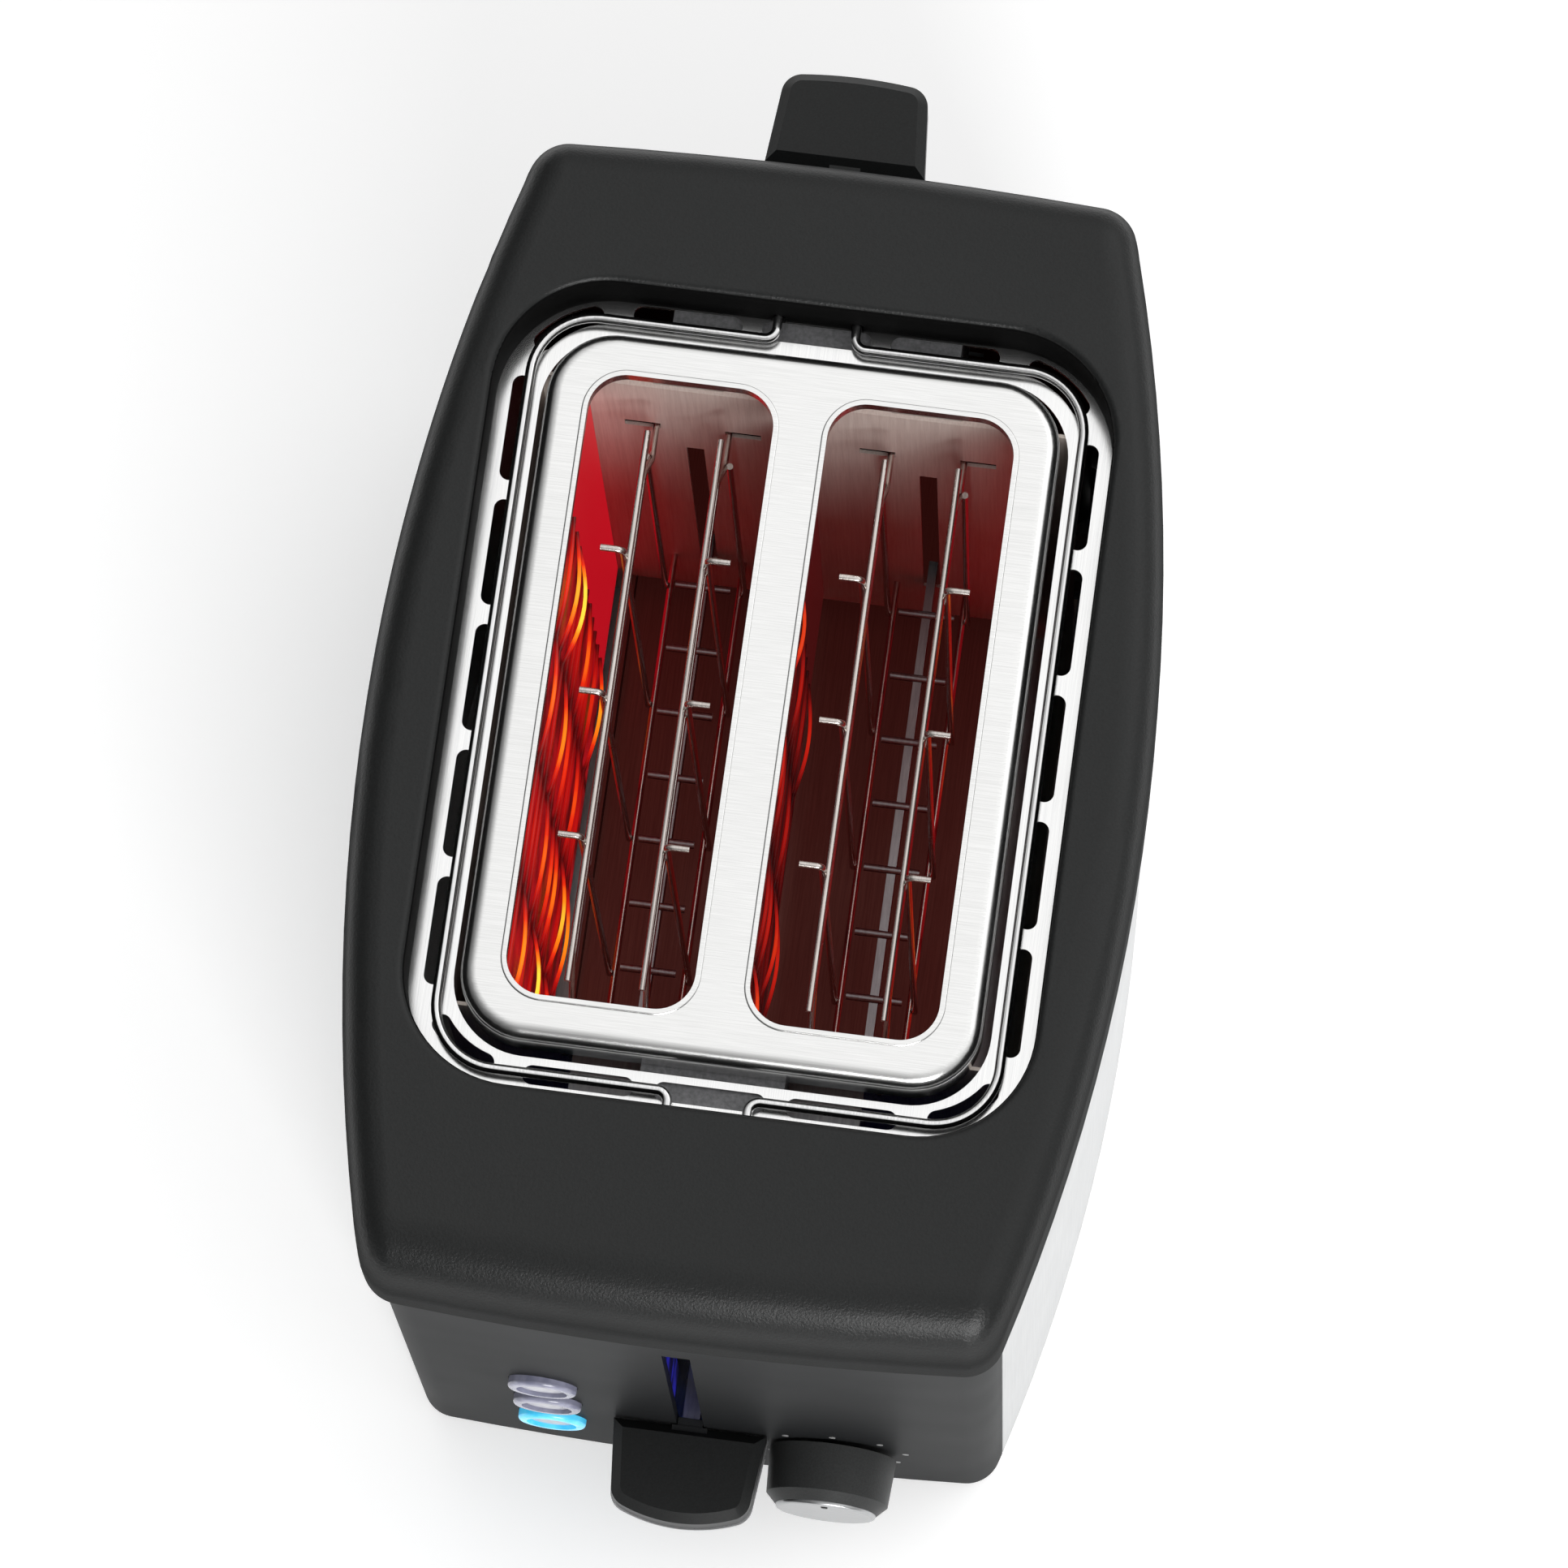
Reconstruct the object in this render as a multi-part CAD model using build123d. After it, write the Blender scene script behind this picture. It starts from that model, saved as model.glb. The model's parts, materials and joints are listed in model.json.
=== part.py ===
from build123d import *
from math import atan2, cos, degrees, radians, sin, sqrt
import os

# Two-slot pop-up toaster with a swing-up bun rack.
# Millimetres. +X is the right-hand side, -Y the control end, +Z up.
# The origin is on the table, under the middle of the overall box.

# Bread slots and the pressed steel slot plate
slot_length = 140.0
slot_width = 41.0
slot_gap = 11.9
slot_corner = 8.5
plate_side_margin = 9.65
plate_end_margin = 9.8
plate_corner = 15.0
plate_sheet = 1.0
plate_edge_round = 3.6
plate_top = 188.0
throat_depth = 3.0
bead_width = 1.3
bead_height = 0.5
bead_round = 0.4

# Trough round the slot plate, and the vent plate at its bottom
trough_side = 11.6
trough_end = 10.55
trough_depth = 10.0
opening_shift = -0.7
opening_corner = 25.0
vent_sheet = 1.0
vent_tuck = 2.2
vent_gap = 1.9
vent_shift = 0.8
vent_slot_width = 4.3
vent_slot_length = 24.2
vent_slot_pitch = 28.6
vent_slot_overrun = 5.0
side_slot_rim = 3.2
end_slot_rim = 1.9
arc_slot_rim = 2.4
arc_slot_start = 37.0
arc_slot_end = 73.0

# Top cover
cover_shoulder = 17.4
cover_taper = 17.8
cover_rear_taper = 20.2
front_deck = 48.65
rear_deck = 34.35
front_bow = 2.9
rear_bow = 2.0
cover_rise = 5.0
cover_skirt = 24.0
cover_wall = 2.5
cover_front_round = 16.5
cover_rear_round = 10.0
cover_side_round = 9.0
lip_round = 1.8

# Body below the cover
side_inset = 1.5
front_setback = 4.7
rear_setback = 4.0
body_bow = 2.2
body_corner = 8.0
panel_wall = 2.5
side_sheet = 0.8
seam = 0.4
seam_overlap = 6.0
wrap_depth = 10.0
rim_height = 7.0
rim_wall = 2.0
foot_height = 4.0
base_sheet = 2.5
foot_radius = 9.0
post_radius = 4.0
post_x = 56.0
post_setback = 15.5
fit_gap = 0.3
running_gap = 0.06

# Chassis
wall_sheet = 0.8
wall_clear = 1.2
wall_shoulder = 3.4
wall_lean = 3.2
wall_relief_width = 4.5
wall_relief_depth = 1.7
notch_bottom = 8.5
notch_half_bottom = 7.8
notch_half_top = 12.5
foot_flange = 10.0
arm_slot_width = 4.0
board_sheet = 0.8
board_bottom = 24.0
board_headroom = 7.0
board_offset = 2.55
ribbon_width = 1.2
ribbon_sheet = 0.5
ribbon_pitch = 12.0
ribbon_first = 40.0
ribbon_count = 11
ribbon_front_margin = 5.0
ribbon_rear_margin = 27.0

# Bread guards
guard_wire = 0.75
guard_spread = 8.2
guard_shift = 1.7
guard_open = 3.4
guard_pivot_z = 42.0
guard_headroom = 2.5
guard_crank_drop = 10.5
guard_slot_drop = 26.5
guard_slot_half = 1.8
guard_hook = 6.2
guard_weld = 1.6
guard_hook_pitch = 32.6

# Bread carriage
carriage_travel = 82.0
carriage_z = 41.0
carriage_plate = 1.2
carriage_height = 33.0
carriage_half_width = 32.0
bush_radius = 5.0
guide_radius = 2.5
guide_x = 20.0
guide_setback = 17.6
arm_thickness = 2.0
arm_height = 6.0
rest_wire = 0.9
rest_half_width = 6.5
rest_pitch = 15.5
tongue_height = 6.0
tongue_thickness = 4.0
spring_radius = 3.4
spring_wire = 0.45
spring_turns = 14

# Front lever and its slit
lever_x = -2.2
slit_width = 6.3
slit_headroom = 4.5
lever_z = 38.4
lever_height = 10.2
lever_width = 36.0
lever_tip_width = 32.3
lever_gap = 0.4
lever_reach = 23.1
lever_corner = 4.8
lever_chamfer = 2.2
lever_wall = 2.0
lever_arch = 3.8
trim_height = 1.8

# Magnet that holds the carriage down
magnet_width = 20.0
magnet_depth = 14.0
magnet_leg = 4.0
magnet_gap = 0.3
armature_sheet = 2.4

# Controls
button_x = -34.9
button_z = 53.3
button_pitch = 21.2
button_radius = 5.4
button_travel = 1.5
button_proud = 2.1
button_sink = 0.8
button_dish = 26.0
ring_radius = 7.9
ring_hole = 5.8
knob_x = 30.7
knob_z = 35.8
knob_radius = 14.7
knob_end_radius = 14.1
knob_chamfer = 2.3
knob_length = 13.0
knob_gap = 0.8
knob_wall = 2.0
shaft_radius = 3.0
pot_radius = 8.0
board_depth = 15.4
circuit_sheet = 1.6

# Bun rack
rack_wire = 1.1
rack_side_clear = 4.6
rack_end_clear = 5.3
rack_drop = 7.0
rack_corner = 14.0
rack_bend = 2.6
rack_pivot_x = 8.7
rack_swing = 57.0
crank_radius = 12.5
crank_start = 10.0
crank_sheet = 2.6
crank_pin = 1.5
crank_hub = 3.6
yoke_sheet = 2.8
yoke_play = 0.75
yoke_half_width = 27.6

# Rear lever
rear_lever_reach = 33.0
rear_lever_arch = 1.2
rear_lever_drop = 4.0
rear_lever_neck = 8.0
rear_stem_half = 3.5

# Crumb tray and cord inlet
tray_half_width = 46.0
tray_sheet = 0.8
tray_height = 7.0
tray_z = 8.2
handle_height = 10.6
gland_x = 40.0
gland_z = 38.0
gland_bore = 3.6
gland_radius = 7.0
terminal_width = 15.0

# Places worked out from the sizes above
slot_x = (slot_width + slot_gap) / 2
plate_half_x = slot_x + slot_width / 2 + plate_side_margin
plate_half_y = slot_length / 2 + plate_end_margin
opening_half_x = plate_half_x + trough_side
opening_half_y = plate_half_y + trough_end
cover_half = opening_half_x + cover_shoulder
body_half = cover_half - side_inset
front_reach = opening_half_y + front_deck - front_setback + lever_reach - opening_shift
rear_reach = opening_half_y + rear_deck - rear_setback + rear_lever_reach + opening_shift
slot_y = (front_reach - rear_reach) / 2
opening_y = slot_y + opening_shift
cover_front = opening_y - opening_half_y - front_deck
cover_rear = opening_y + opening_half_y + rear_deck
panel_front = cover_front + front_setback
panel_rear = cover_rear - rear_setback
vent_top = plate_top - trough_depth
vent_bottom = vent_top - vent_sheet
board_top = vent_bottom - board_headroom
guard_top_z = vent_bottom - guard_headroom
guard_crank_z = guard_top_z - guard_crank_drop
guard_slot_z = guard_top_z - guard_slot_drop
cover_top = plate_top + cover_rise
cover_bottom = cover_top - cover_skirt
panel_top = cover_bottom - seam
rear_lever_top = cover_bottom - rear_lever_drop
rim_top = panel_top + rim_height
base_top = foot_height + base_sheet
seam_front = panel_front + wrap_depth
seam_rear = panel_rear - wrap_depth
wall_front = slot_y - slot_length / 2 - wall_clear
wall_rear = slot_y + slot_length / 2 + wall_clear
wall_half = plate_half_x - plate_sheet - plate_edge_round - 2.1
wall_foot_half = plate_half_x + wall_shoulder
reflector_x = wall_foot_half - wall_sheet
board_x = slot_x + slot_width / 2 + board_offset
carriage_y = wall_front - wall_sheet - 5.6
guide_y = wall_front - wall_sheet - guide_setback
bracket_z = carriage_z + bush_radius + 30.0 + carriage_travel
rack_half_x = plate_half_x + rack_side_clear
rack_half_y = plate_half_y + rack_end_clear
rack_z = plate_top - rack_drop
front_post_y = panel_front + post_setback
rear_post_y = panel_rear - post_setback
circuit_y = panel_front + board_depth
rear_bearing_y = opening_y + opening_half_y + cover_wall + 1.3
front_bearing_y = opening_y - opening_half_y - cover_wall - 1.6
crank_y = rear_bearing_y + 4.0 + fit_gap
yoke_y = crank_y + crank_sheet + fit_gap
right_crank_y = yoke_y + yoke_sheet + fit_gap


def block(x0, x1, y0, y1, z0, z1):
    middle = Pos((x0 + x1) / 2, (y0 + y1) / 2, (z0 + z1) / 2)
    return middle * Box(x1 - x0, y1 - y0, z1 - z0)


def post(x, y, radius, z0, z1):
    return Pos(x, y, (z0 + z1) / 2) * Cylinder(radius, z1 - z0)


def along_y(x, z, radius, y0, y1):
    return Pos(x, (y0 + y1) / 2, z) * Rot(90, 0, 0) * Cylinder(radius, y1 - y0)


def along_x(y, z, radius, x0, x1):
    return Pos((x0 + x1) / 2, y, z) * Rot(0, 90, 0) * Cylinder(radius, x1 - x0)


def rounded(half_x, half_y, corner, z0, z1, y=0.0, x=0.0):
    face = RectangleRounded(2 * half_x, 2 * half_y, corner)
    return Pos(x, y, z0) * extrude(face, z1 - z0)


def prism(face, z0, z1):
    return Pos(0, 0, z0) * extrude(face, z1 - z0)


def both(make):
    return make(1) + make(-1)


def top_edges(solid):
    return solid.faces().sort_by(Axis.Z)[-1].edges()


def arc_radius(half_chord, rise):
    return (half_chord * half_chord + rise * rise) / (2 * rise)


def crossing(ax, ay, ar, bx, by, br):
    # Of the two points where the circles cross, the one further along +X.
    dx = bx - ax
    dy = by - ay
    gap = sqrt(dx * dx + dy * dy)
    along = (ar * ar - br * br + gap * gap) / (2 * gap)
    off = sqrt(ar * ar - along * along)
    px = ax + along * dx / gap
    py = ay + along * dy / gap
    return max((px + off * dy / gap, py - off * dx / gap), (px - off * dy / gap, py + off * dx / gap))


def barrel(front, rear, bow_front, bow_rear, half, inset):
    # Four arcs, each drawn in by the inset about its own centre.
    # The sides are widest nearer the front, because they draw in more towards the rear.
    length = rear - bow_rear - front - bow_front
    to_belly = length / (1 + sqrt(cover_rear_taper / cover_taper))
    belly = front + bow_front + to_belly
    side_r = arc_radius(to_belly, cover_taper)
    front_r = arc_radius(half - cover_taper, bow_front)
    rear_r = arc_radius(half - cover_rear_taper, bow_rear)
    side = (half - side_r, belly, side_r - inset)
    front_x, front_y = crossing(0, front + front_r, front_r - inset, *side)
    rear_x, rear_y = crossing(0, rear - rear_r, rear_r - inset, *side)
    edges = [
        ThreePointArc((-front_x, front_y), (0, front + inset), (front_x, front_y)),
        ThreePointArc((front_x, front_y), (half - inset, belly), (rear_x, rear_y)),
        ThreePointArc((rear_x, rear_y), (0, rear - inset), (-rear_x, rear_y)),
        ThreePointArc((-rear_x, rear_y), (inset - half, belly), (-front_x, front_y)),
    ]
    return make_face(edges)


def cover(inset):
    # The long front and rear roundings first, then one rounding up each corner and along the side.
    plan = barrel(cover_front, cover_rear, front_bow, rear_bow, cover_half, inset)
    form = prism(plan, cover_bottom, cover_top - inset)
    form = fillet(top_edges(form).sort_by(Axis.Y)[0], cover_front_round - inset)
    form = fillet(top_edges(form).sort_by(Axis.Y)[-1], cover_rear_round - inset)
    for end in (0, -1):
        side = form.faces().sort_by(Axis.X)[end]
        edges = [edge for edge in side.edges() if edge.center().Z > cover_bottom + 1]
        form = fillet(edges, cover_side_round - inset)
    return form


def body(inset):
    plan = barrel(panel_front, panel_rear, body_bow, rear_bow, body_half, inset)
    return fillet(plan.vertices(), body_corner - inset)


def ring_wall(outer, inner, z0, z1):
    return prism(body(outer), z0, z1) - prism(body(inner), z0 - 1, z1 + 1)


def slots(grow, z0, z1):
    half_x = slot_width / 2 + grow
    half_y = slot_length / 2 + grow
    return both(lambda s: rounded(half_x, half_y, slot_corner + grow, z0, z1, slot_y, s * slot_x))


def top_cover():
    inner_top = cover_top - cover_wall
    wall_x = opening_half_x + cover_wall
    wall_y = opening_half_y + cover_wall
    wall = rounded(wall_x, wall_y, opening_corner + cover_wall, vent_top, inner_top + 0.5, opening_y)
    shell = cover(0) - cover(cover_wall) + wall
    opening = rounded(
        opening_half_x, opening_half_y, opening_corner, vent_top - 1, cover_top + 1, opening_y
    )
    shell = shell - opening
    lip = shell.faces().sort_by(Axis.Z)[-1].inner_wires()[0].edges()
    shell = fillet(lip, lip_round)
    for x in (-rack_pivot_x, rack_pivot_x):
        notch = block(
            x - rack_wire - fit_gap, x + rack_wire + fit_gap, front_bearing_y, rear_bearing_y,
            vent_top - 1, rack_z,
        )
        notch += along_y(x, rack_z, rack_wire + fit_gap, front_bearing_y, rear_bearing_y)
        shell -= notch
    for x in (-post_x, post_x):
        for y in (front_post_y, rear_post_y):
            shell += post(x, y, post_radius - 0.5, rim_top + fit_gap, inner_top + 0.5)
    return shell


def vent_plate():
    half_x = opening_half_x + vent_tuck
    half_y = opening_half_y + vent_tuck
    plate = rounded(half_x, half_y, opening_corner + vent_tuck, vent_bottom, vent_top, opening_y)
    plate -= rounded(
        plate_half_x + vent_gap, plate_half_y + vent_gap, plate_corner + vent_gap,
        vent_bottom - 1, vent_top + 1, slot_y,
    )
    middle_y = slot_y + vent_shift
    half_slot = vent_slot_width / 2
    side_x = opening_half_x - side_slot_rim - half_slot
    end_y = opening_half_y - end_slot_rim - half_slot
    straight = opening_half_y - opening_corner
    span = 2 * (straight + vent_slot_overrun)
    count = int((span - vent_slot_length) / vent_slot_pitch) + 1
    cutter = Pos(0, 0, vent_bottom - 1) * extrude(
        SlotOverall(vent_slot_length, vent_slot_width), vent_sheet + 2
    )
    for k in range(count):
        y = middle_y + (k - (count - 1) / 2) * vent_slot_pitch
        plate -= Pos(side_x, y, 0) * Rot(0, 0, 90) * cutter
        plate -= Pos(-side_x, y, 0) * Rot(0, 0, 90) * cutter
    for x in (-vent_slot_pitch, 0, vent_slot_pitch):
        plate -= Pos(x, middle_y + end_y, 0) * cutter
        plate -= Pos(x, middle_y - end_y, 0) * cutter
    arc_middle = opening_corner - arc_slot_rim - half_slot
    for quarter in range(4):
        sign_x = 1 if quarter in (0, 3) else -1
        sign_y = 1 if quarter in (0, 1) else -1
        centre_x = sign_x * (opening_half_x - opening_corner)
        centre_y = middle_y + sign_y * straight
        first = atan2(sign_y * sin(radians(arc_slot_start)), sign_x * cos(radians(arc_slot_start)))
        last = atan2(sign_y * sin(radians(arc_slot_end)), sign_x * cos(radians(arc_slot_end)))
        sweep_angle = degrees(last - first)
        arc = CenterArc((centre_x, centre_y), arc_middle, degrees(first), sweep_angle)
        arc_slot = SlotArc(arc, vent_slot_width)
        plate -= Pos(0, 0, vent_bottom - 1) * extrude(arc_slot, vent_sheet + 2)
    return plate


def slot_plate():
    outer = rounded(plate_half_x, plate_half_y, plate_corner, vent_bottom, plate_top, slot_y)
    outer = fillet(top_edges(outer), plate_edge_round)
    inner = rounded(
        plate_half_x - plate_sheet, plate_half_y - plate_sheet, plate_corner - plate_sheet,
        vent_bottom - 1, plate_top - plate_sheet, slot_y,
    )
    inner = fillet(top_edges(inner), plate_edge_round - plate_sheet)
    plate = outer - inner
    plate += slots(plate_sheet, plate_top - throat_depth, plate_top - plate_sheet / 2)
    bead = slots(bead_width, plate_top - plate_sheet / 2, plate_top + bead_height)
    bead_tops = bead.faces().filter_by(Axis.Z).sort_by(Axis.Z)[-2:]
    bead = fillet([edge for top in bead_tops for edge in top.edges()], bead_round)
    plate += bead
    return plate - slots(0, plate_top - throat_depth - 1, plate_top + bead_height + 1)


def panel_shell(keep, rim_keep):
    shell = ring_wall(0, panel_wall, foot_height, panel_top) & keep
    step = ring_wall(side_sheet + fit_gap, panel_wall, base_top + 2, panel_top - 3) & rim_keep
    rim = ring_wall(1.6, 1.6 + rim_wall, panel_top - 8, rim_top) & keep
    return shell + step + rim


def rib_post(x, y, toward):
    pillar = post(x, y, post_radius, base_top, rim_top)
    pillar -= post(x, y, 1.55, base_top - 1, base_top + 14)
    low, high = sorted((y + (post_radius - 0.5) * (1 if toward > y else -1), toward))
    return pillar + block(x - 1, x + 1, low, high, base_top + 2, panel_top - 2)


def front_surface(x):
    radius = arc_radius(body_half - cover_taper, body_bow)
    return panel_front + radius - sqrt(radius * radius - x * x)


def front_panel():
    y_cut = seam_front
    keep = block(-100, 100, panel_front - 5, y_cut, 0, plate_top)
    step_keep = block(-100, 100, y_cut, y_cut + seam_overlap, 0, plate_top)
    panel = panel_shell(keep, step_keep)
    for x in (-post_x, post_x):
        panel += rib_post(x, front_post_y, front_surface(x) + 1.5)
    inner = panel_front + panel_wall
    for x, z in control_board_holes() + timer_board_holes():
        boss = along_y(x, z, 2.6, front_surface(x) + 1.2, circuit_y)
        panel += boss - along_y(x, z, 1.1, inner + 2, circuit_y + 1)
    slit_bottom = carriage_z - 1.5
    slit_top = carriage_z + tongue_height + carriage_travel + slit_headroom
    slit_left = lever_x - slit_width / 2
    slit_right = lever_x + slit_width / 2
    panel -= block(slit_left, slit_right, panel_front - 5, inner + 3, slit_bottom, slit_top)
    for z in button_heights():
        panel -= along_y(button_x, z, ring_radius + 0.15, panel_front - 5, inner + 3)
    panel -= along_y(knob_x, knob_z, shaft_radius + 2.1, panel_front - 5, inner + 3)
    return panel


def rear_panel():
    y_cut = seam_rear
    keep = block(-100, 100, y_cut, panel_rear + 5, 0, plate_top)
    step_keep = block(-100, 100, y_cut - seam_overlap, y_cut, 0, plate_top)
    panel = panel_shell(keep, step_keep)
    for x in (-post_x, post_x):
        panel += rib_post(x, rear_post_y, panel_rear - 3.5)
    inner = panel_rear - panel_wall - 3
    stem_bottom = rear_lever_top - rear_lever_neck
    slit_half = rear_stem_half + 1
    panel -= block(
        -slit_half, slit_half, inner, panel_rear + 5,
        stem_bottom - lever_travel() - 1.5, rear_lever_top - 0.5,
    )
    opening_half = tray_half_width + 1
    panel -= block(
        -opening_half, opening_half, inner, panel_rear + 5, tray_z - 0.3, tray_z + handle_height + 0.3
    )
    panel -= along_y(gland_x, gland_z, gland_radius + 0.15, inner, panel_rear + 5)
    for row in range(5):
        z = 62 + row * 9
        for x in (-24, 0, 24):
            panel -= block(x - 9, x + 9, inner, panel_rear + 5, z, z + 3)
    return panel


def side_panel(side):
    sheet = ring_wall(0, side_sheet, foot_height, panel_top)
    low, high = sorted((0, side * 100))
    run = block(low, high, seam_front + seam, seam_rear - seam, 0, plate_top)
    short = block(
        low, high, seam_front + seam_overlap + 1, seam_rear - seam_overlap - 1, 0, plate_top
    )
    panel = sheet & run
    panel += ring_wall(0.1, 4, panel_top - side_sheet, panel_top) & short
    return panel + (ring_wall(0.1, 7, base_top + 0.1, base_top + 0.1 + side_sheet) & short)


def base_plate():
    plate = prism(body(panel_wall + fit_gap), foot_height, base_top)
    for x in (-post_x, post_x):
        for y in (front_post_y, rear_post_y):
            plate -= post(x, y, 1.8, foot_height - 1, base_top + 1)
    for x, y in foot_places():
        plate -= post(x, y, 3.1, foot_height - 1, base_top + 1)
    for x, y in chassis_screw_places():
        plate -= post(x, y, 1.55, foot_height - 1, base_top + 1)
    for row in range(6):
        y = slot_y - 50 + row * 20
        for x in (-26, 26):
            plate -= Pos(x, y, foot_height - 1) * extrude(SlotOverall(34, 4), base_sheet + 2)
    for x in (-tray_half_width + 2, tray_half_width - 2):
        runner_top = tray_z - 0.2
        plate += block(x - 1, x + 1, wall_front + 2, wall_rear - 2, base_top - 0.5, runner_top)
        plate += block(
            x - 1, x + 1, wall_rear + foot_flange + 3, panel_rear - 6, base_top - 0.5, runner_top
        )
    return plate


def foot_places():
    front = front_post_y + 15
    rear = rear_post_y - 15
    return [(x, y) for x in (-50, 50) for y in (front, rear)]


def chassis_screw_places():
    front = wall_front - wall_sheet - 5.5
    rear = wall_rear + wall_sheet + 5.5
    x = tray_half_width + 7
    return [(sign * x, y) for sign in (-1, 1) for y in (front, rear)]


def rubber_feet():
    feet = Part()
    for x, y in foot_places():
        foot = post(x, y, foot_radius, 0, foot_height)
        foot = chamfer(foot.edges().group_by(Axis.Z)[0], 0.8)
        feet += foot + post(x, y, 3.0, foot_height, base_top)
    return feet


def screws():
    group = Part()
    for x in (-post_x, post_x):
        for y in (front_post_y, rear_post_y):
            shank = post(x, y, 1.5, foot_height - 0.2, base_top + 12)
            head = post(x, y, 3.0, foot_height - 1.8, foot_height)
            group += shank + head - block(x - 2, x + 2, y - 0.4, y + 0.4, foot_height - 2, foot_height - 1)
    for x, y in chassis_screw_places():
        top = base_top + wall_sheet
        shank = post(x, y, 1.5, foot_height + 0.3, top + 0.2)
        head = post(x, y, 2.8, top, top + 1.5)
        group += shank + head - block(x - 2, x + 2, y - 0.4, y + 0.4, top + 0.8, top + 2)
    return group


def lever_travel():
    start = radians(crank_start)
    end = radians(crank_start - rack_swing)
    return crank_radius * (sin(start) - sin(end))


def end_wall(inner_y, outward):
    outer_y = inner_y + outward * wall_sheet
    low, high = sorted((inner_y, outer_y))
    wall = block(-wall_foot_half, wall_foot_half, low, high, base_top, vent_bottom)
    lean = outward * wall_lean
    wall_top = plate_top - plate_sheet
    upper = Polyline(
        (low, vent_bottom), (high, vent_bottom), (high + lean, wall_top), (low + lean, wall_top),
        close=True,
    )
    wall += Pos(-wall_half, 0, 0) * extrude(Plane.YZ * make_face(upper), 2 * wall_half)
    relief = wall_half - wall_relief_width
    relief_low = wall_top - wall_relief_depth
    foot_end = outer_y + outward * foot_flange
    foot_low, foot_high = sorted((inner_y, foot_end))
    wall += block(
        -wall_foot_half, wall_foot_half, foot_low, foot_high, base_top, base_top + wall_sheet
    )
    far = sorted((inner_y - outward, outer_y + lean + outward))
    notch_low = wall_top - notch_bottom
    notch = Polyline(
        (-notch_half_bottom, notch_low), (notch_half_bottom, notch_low),
        (notch_half_top, wall_top + 1), (-notch_half_top, wall_top + 1), close=True,
    )
    notch = Pos(0, far[1], 0) * extrude(Plane.XZ * make_face(notch), far[1] - far[0])
    arm_top = carriage_z + 2.5 + arm_height + carriage_travel + 2
    swing = sin(radians(guard_open)) * (guard_slot_z - guard_pivot_z)
    slot_run = swing + 2 * guard_wire + 0.3
    for side in (-1, 1):
        x = side * slot_x
        half = arm_slot_width / 2
        wall -= block(x - half, x + half, far[0], far[1], carriage_z + 0.5, arm_top)
        for out in (-1, 1):
            closed = x + out * guard_spread
            wall -= along_y(closed, guard_pivot_z, guard_wire + running_gap, far[0], far[1])
            near = closed - out * (guard_wire + 0.15)
            ends = sorted((near, near + out * slot_run))
            wall -= block(
                ends[0], ends[1], far[0], far[1],
                guard_slot_z - guard_slot_half, guard_slot_z + guard_slot_half,
            )
        wall -= Pos(x, 0, 0) * notch
    wall -= block(relief, wall_half + 1, far[0], far[1], relief_low, wall_top + 1)
    wall -= block(-wall_half - 1, -relief, far[0], far[1], relief_low, wall_top + 1)
    for x, y in chassis_screw_places():
        wall -= post(x, y, 1.55, base_top - 1, base_top + 2)
    return wall


def chassis_front_wall():
    return end_wall(wall_front, -1)


def chassis_rear_wall():
    wall = end_wall(wall_rear, 1)
    half = tray_half_width + 1
    return wall - block(
        -half, half, wall_rear - 1, wall_rear + 2, base_top + wall_sheet, tray_z + handle_height + 0.3
    )


def reflector(side):
    low, high = sorted((side * reflector_x, side * (reflector_x + wall_sheet)))
    y0 = wall_front + 0.1
    y1 = wall_rear - 0.1
    sheet = block(low, high, y0, y1, base_top, vent_bottom - 4)
    low, high = sorted((side * reflector_x, side * (reflector_x + 7)))
    return sheet + block(low, high, y0, y1, base_top, base_top + wall_sheet)


def heater_board(x):
    half = board_sheet / 2
    return block(x - half, x + half, wall_front + 0.1, wall_rear - 0.1, board_bottom, board_top)


def heating_ribbon(board, face):
    near = board + face * board_sheet / 2
    low, high = sorted((near, near + face * ribbon_sheet))
    y0 = wall_front + ribbon_front_margin
    y1 = wall_rear - ribbon_rear_margin
    ribbon = Part()
    for k in range(ribbon_count):
        z = ribbon_first + k * ribbon_pitch
        ribbon += block(low, high, y0, y1, z, z + ribbon_width)
        if k + 1 < ribbon_count:
            y = y0 if k % 2 else y1 - ribbon_width
            ribbon += block(low, high, y, y + ribbon_width, z, z + ribbon_pitch + ribbon_width)
    return ribbon


def wire(points, bend, radius):
    path = FilletPolyline(*points, radius=bend)
    start = Plane(path @ 0, z_dir=path % 0)
    return sweep(start * Circle(radius), path=path)


def bread_guard(side, out):
    x = side * slot_x + out * guard_spread
    y0 = wall_front - wall_sheet - 2
    y1 = wall_rear + wall_sheet + 2
    inner0 = wall_front + 8
    inner1 = wall_rear - 8
    guard = along_y(x, guard_pivot_z, guard_wire, y0, y1)
    crank = [
        (x, y0, guard_slot_z), (x, inner0, guard_slot_z), (x, inner0 + 8, guard_crank_z),
        (x, inner1 - 8, guard_crank_z), (x, inner1, guard_slot_z), (x, y1, guard_slot_z),
    ]
    guard += wire(crank, 3.0, guard_wire)
    guard += along_y(x, guard_top_z - 4.5, guard_wire, inner0 + 1, inner1)
    upright = x + out * guard_weld * guard_wire
    for y in (inner0 - 0.3, inner1 + 0.3):
        guard += post(upright, y, guard_wire, guard_pivot_z - 1, guard_slot_z + 1)
    for k in (-1, 0, 1):
        y = slot_y + guard_shift + k * guard_hook_pitch
        hook = [
            (upright, y, guard_pivot_z - 1), (upright, y, guard_top_z),
            (x + out * guard_hook, y, guard_top_z),
        ]
        guard += wire(hook, 1.5, guard_wire)
    return guard


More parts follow.
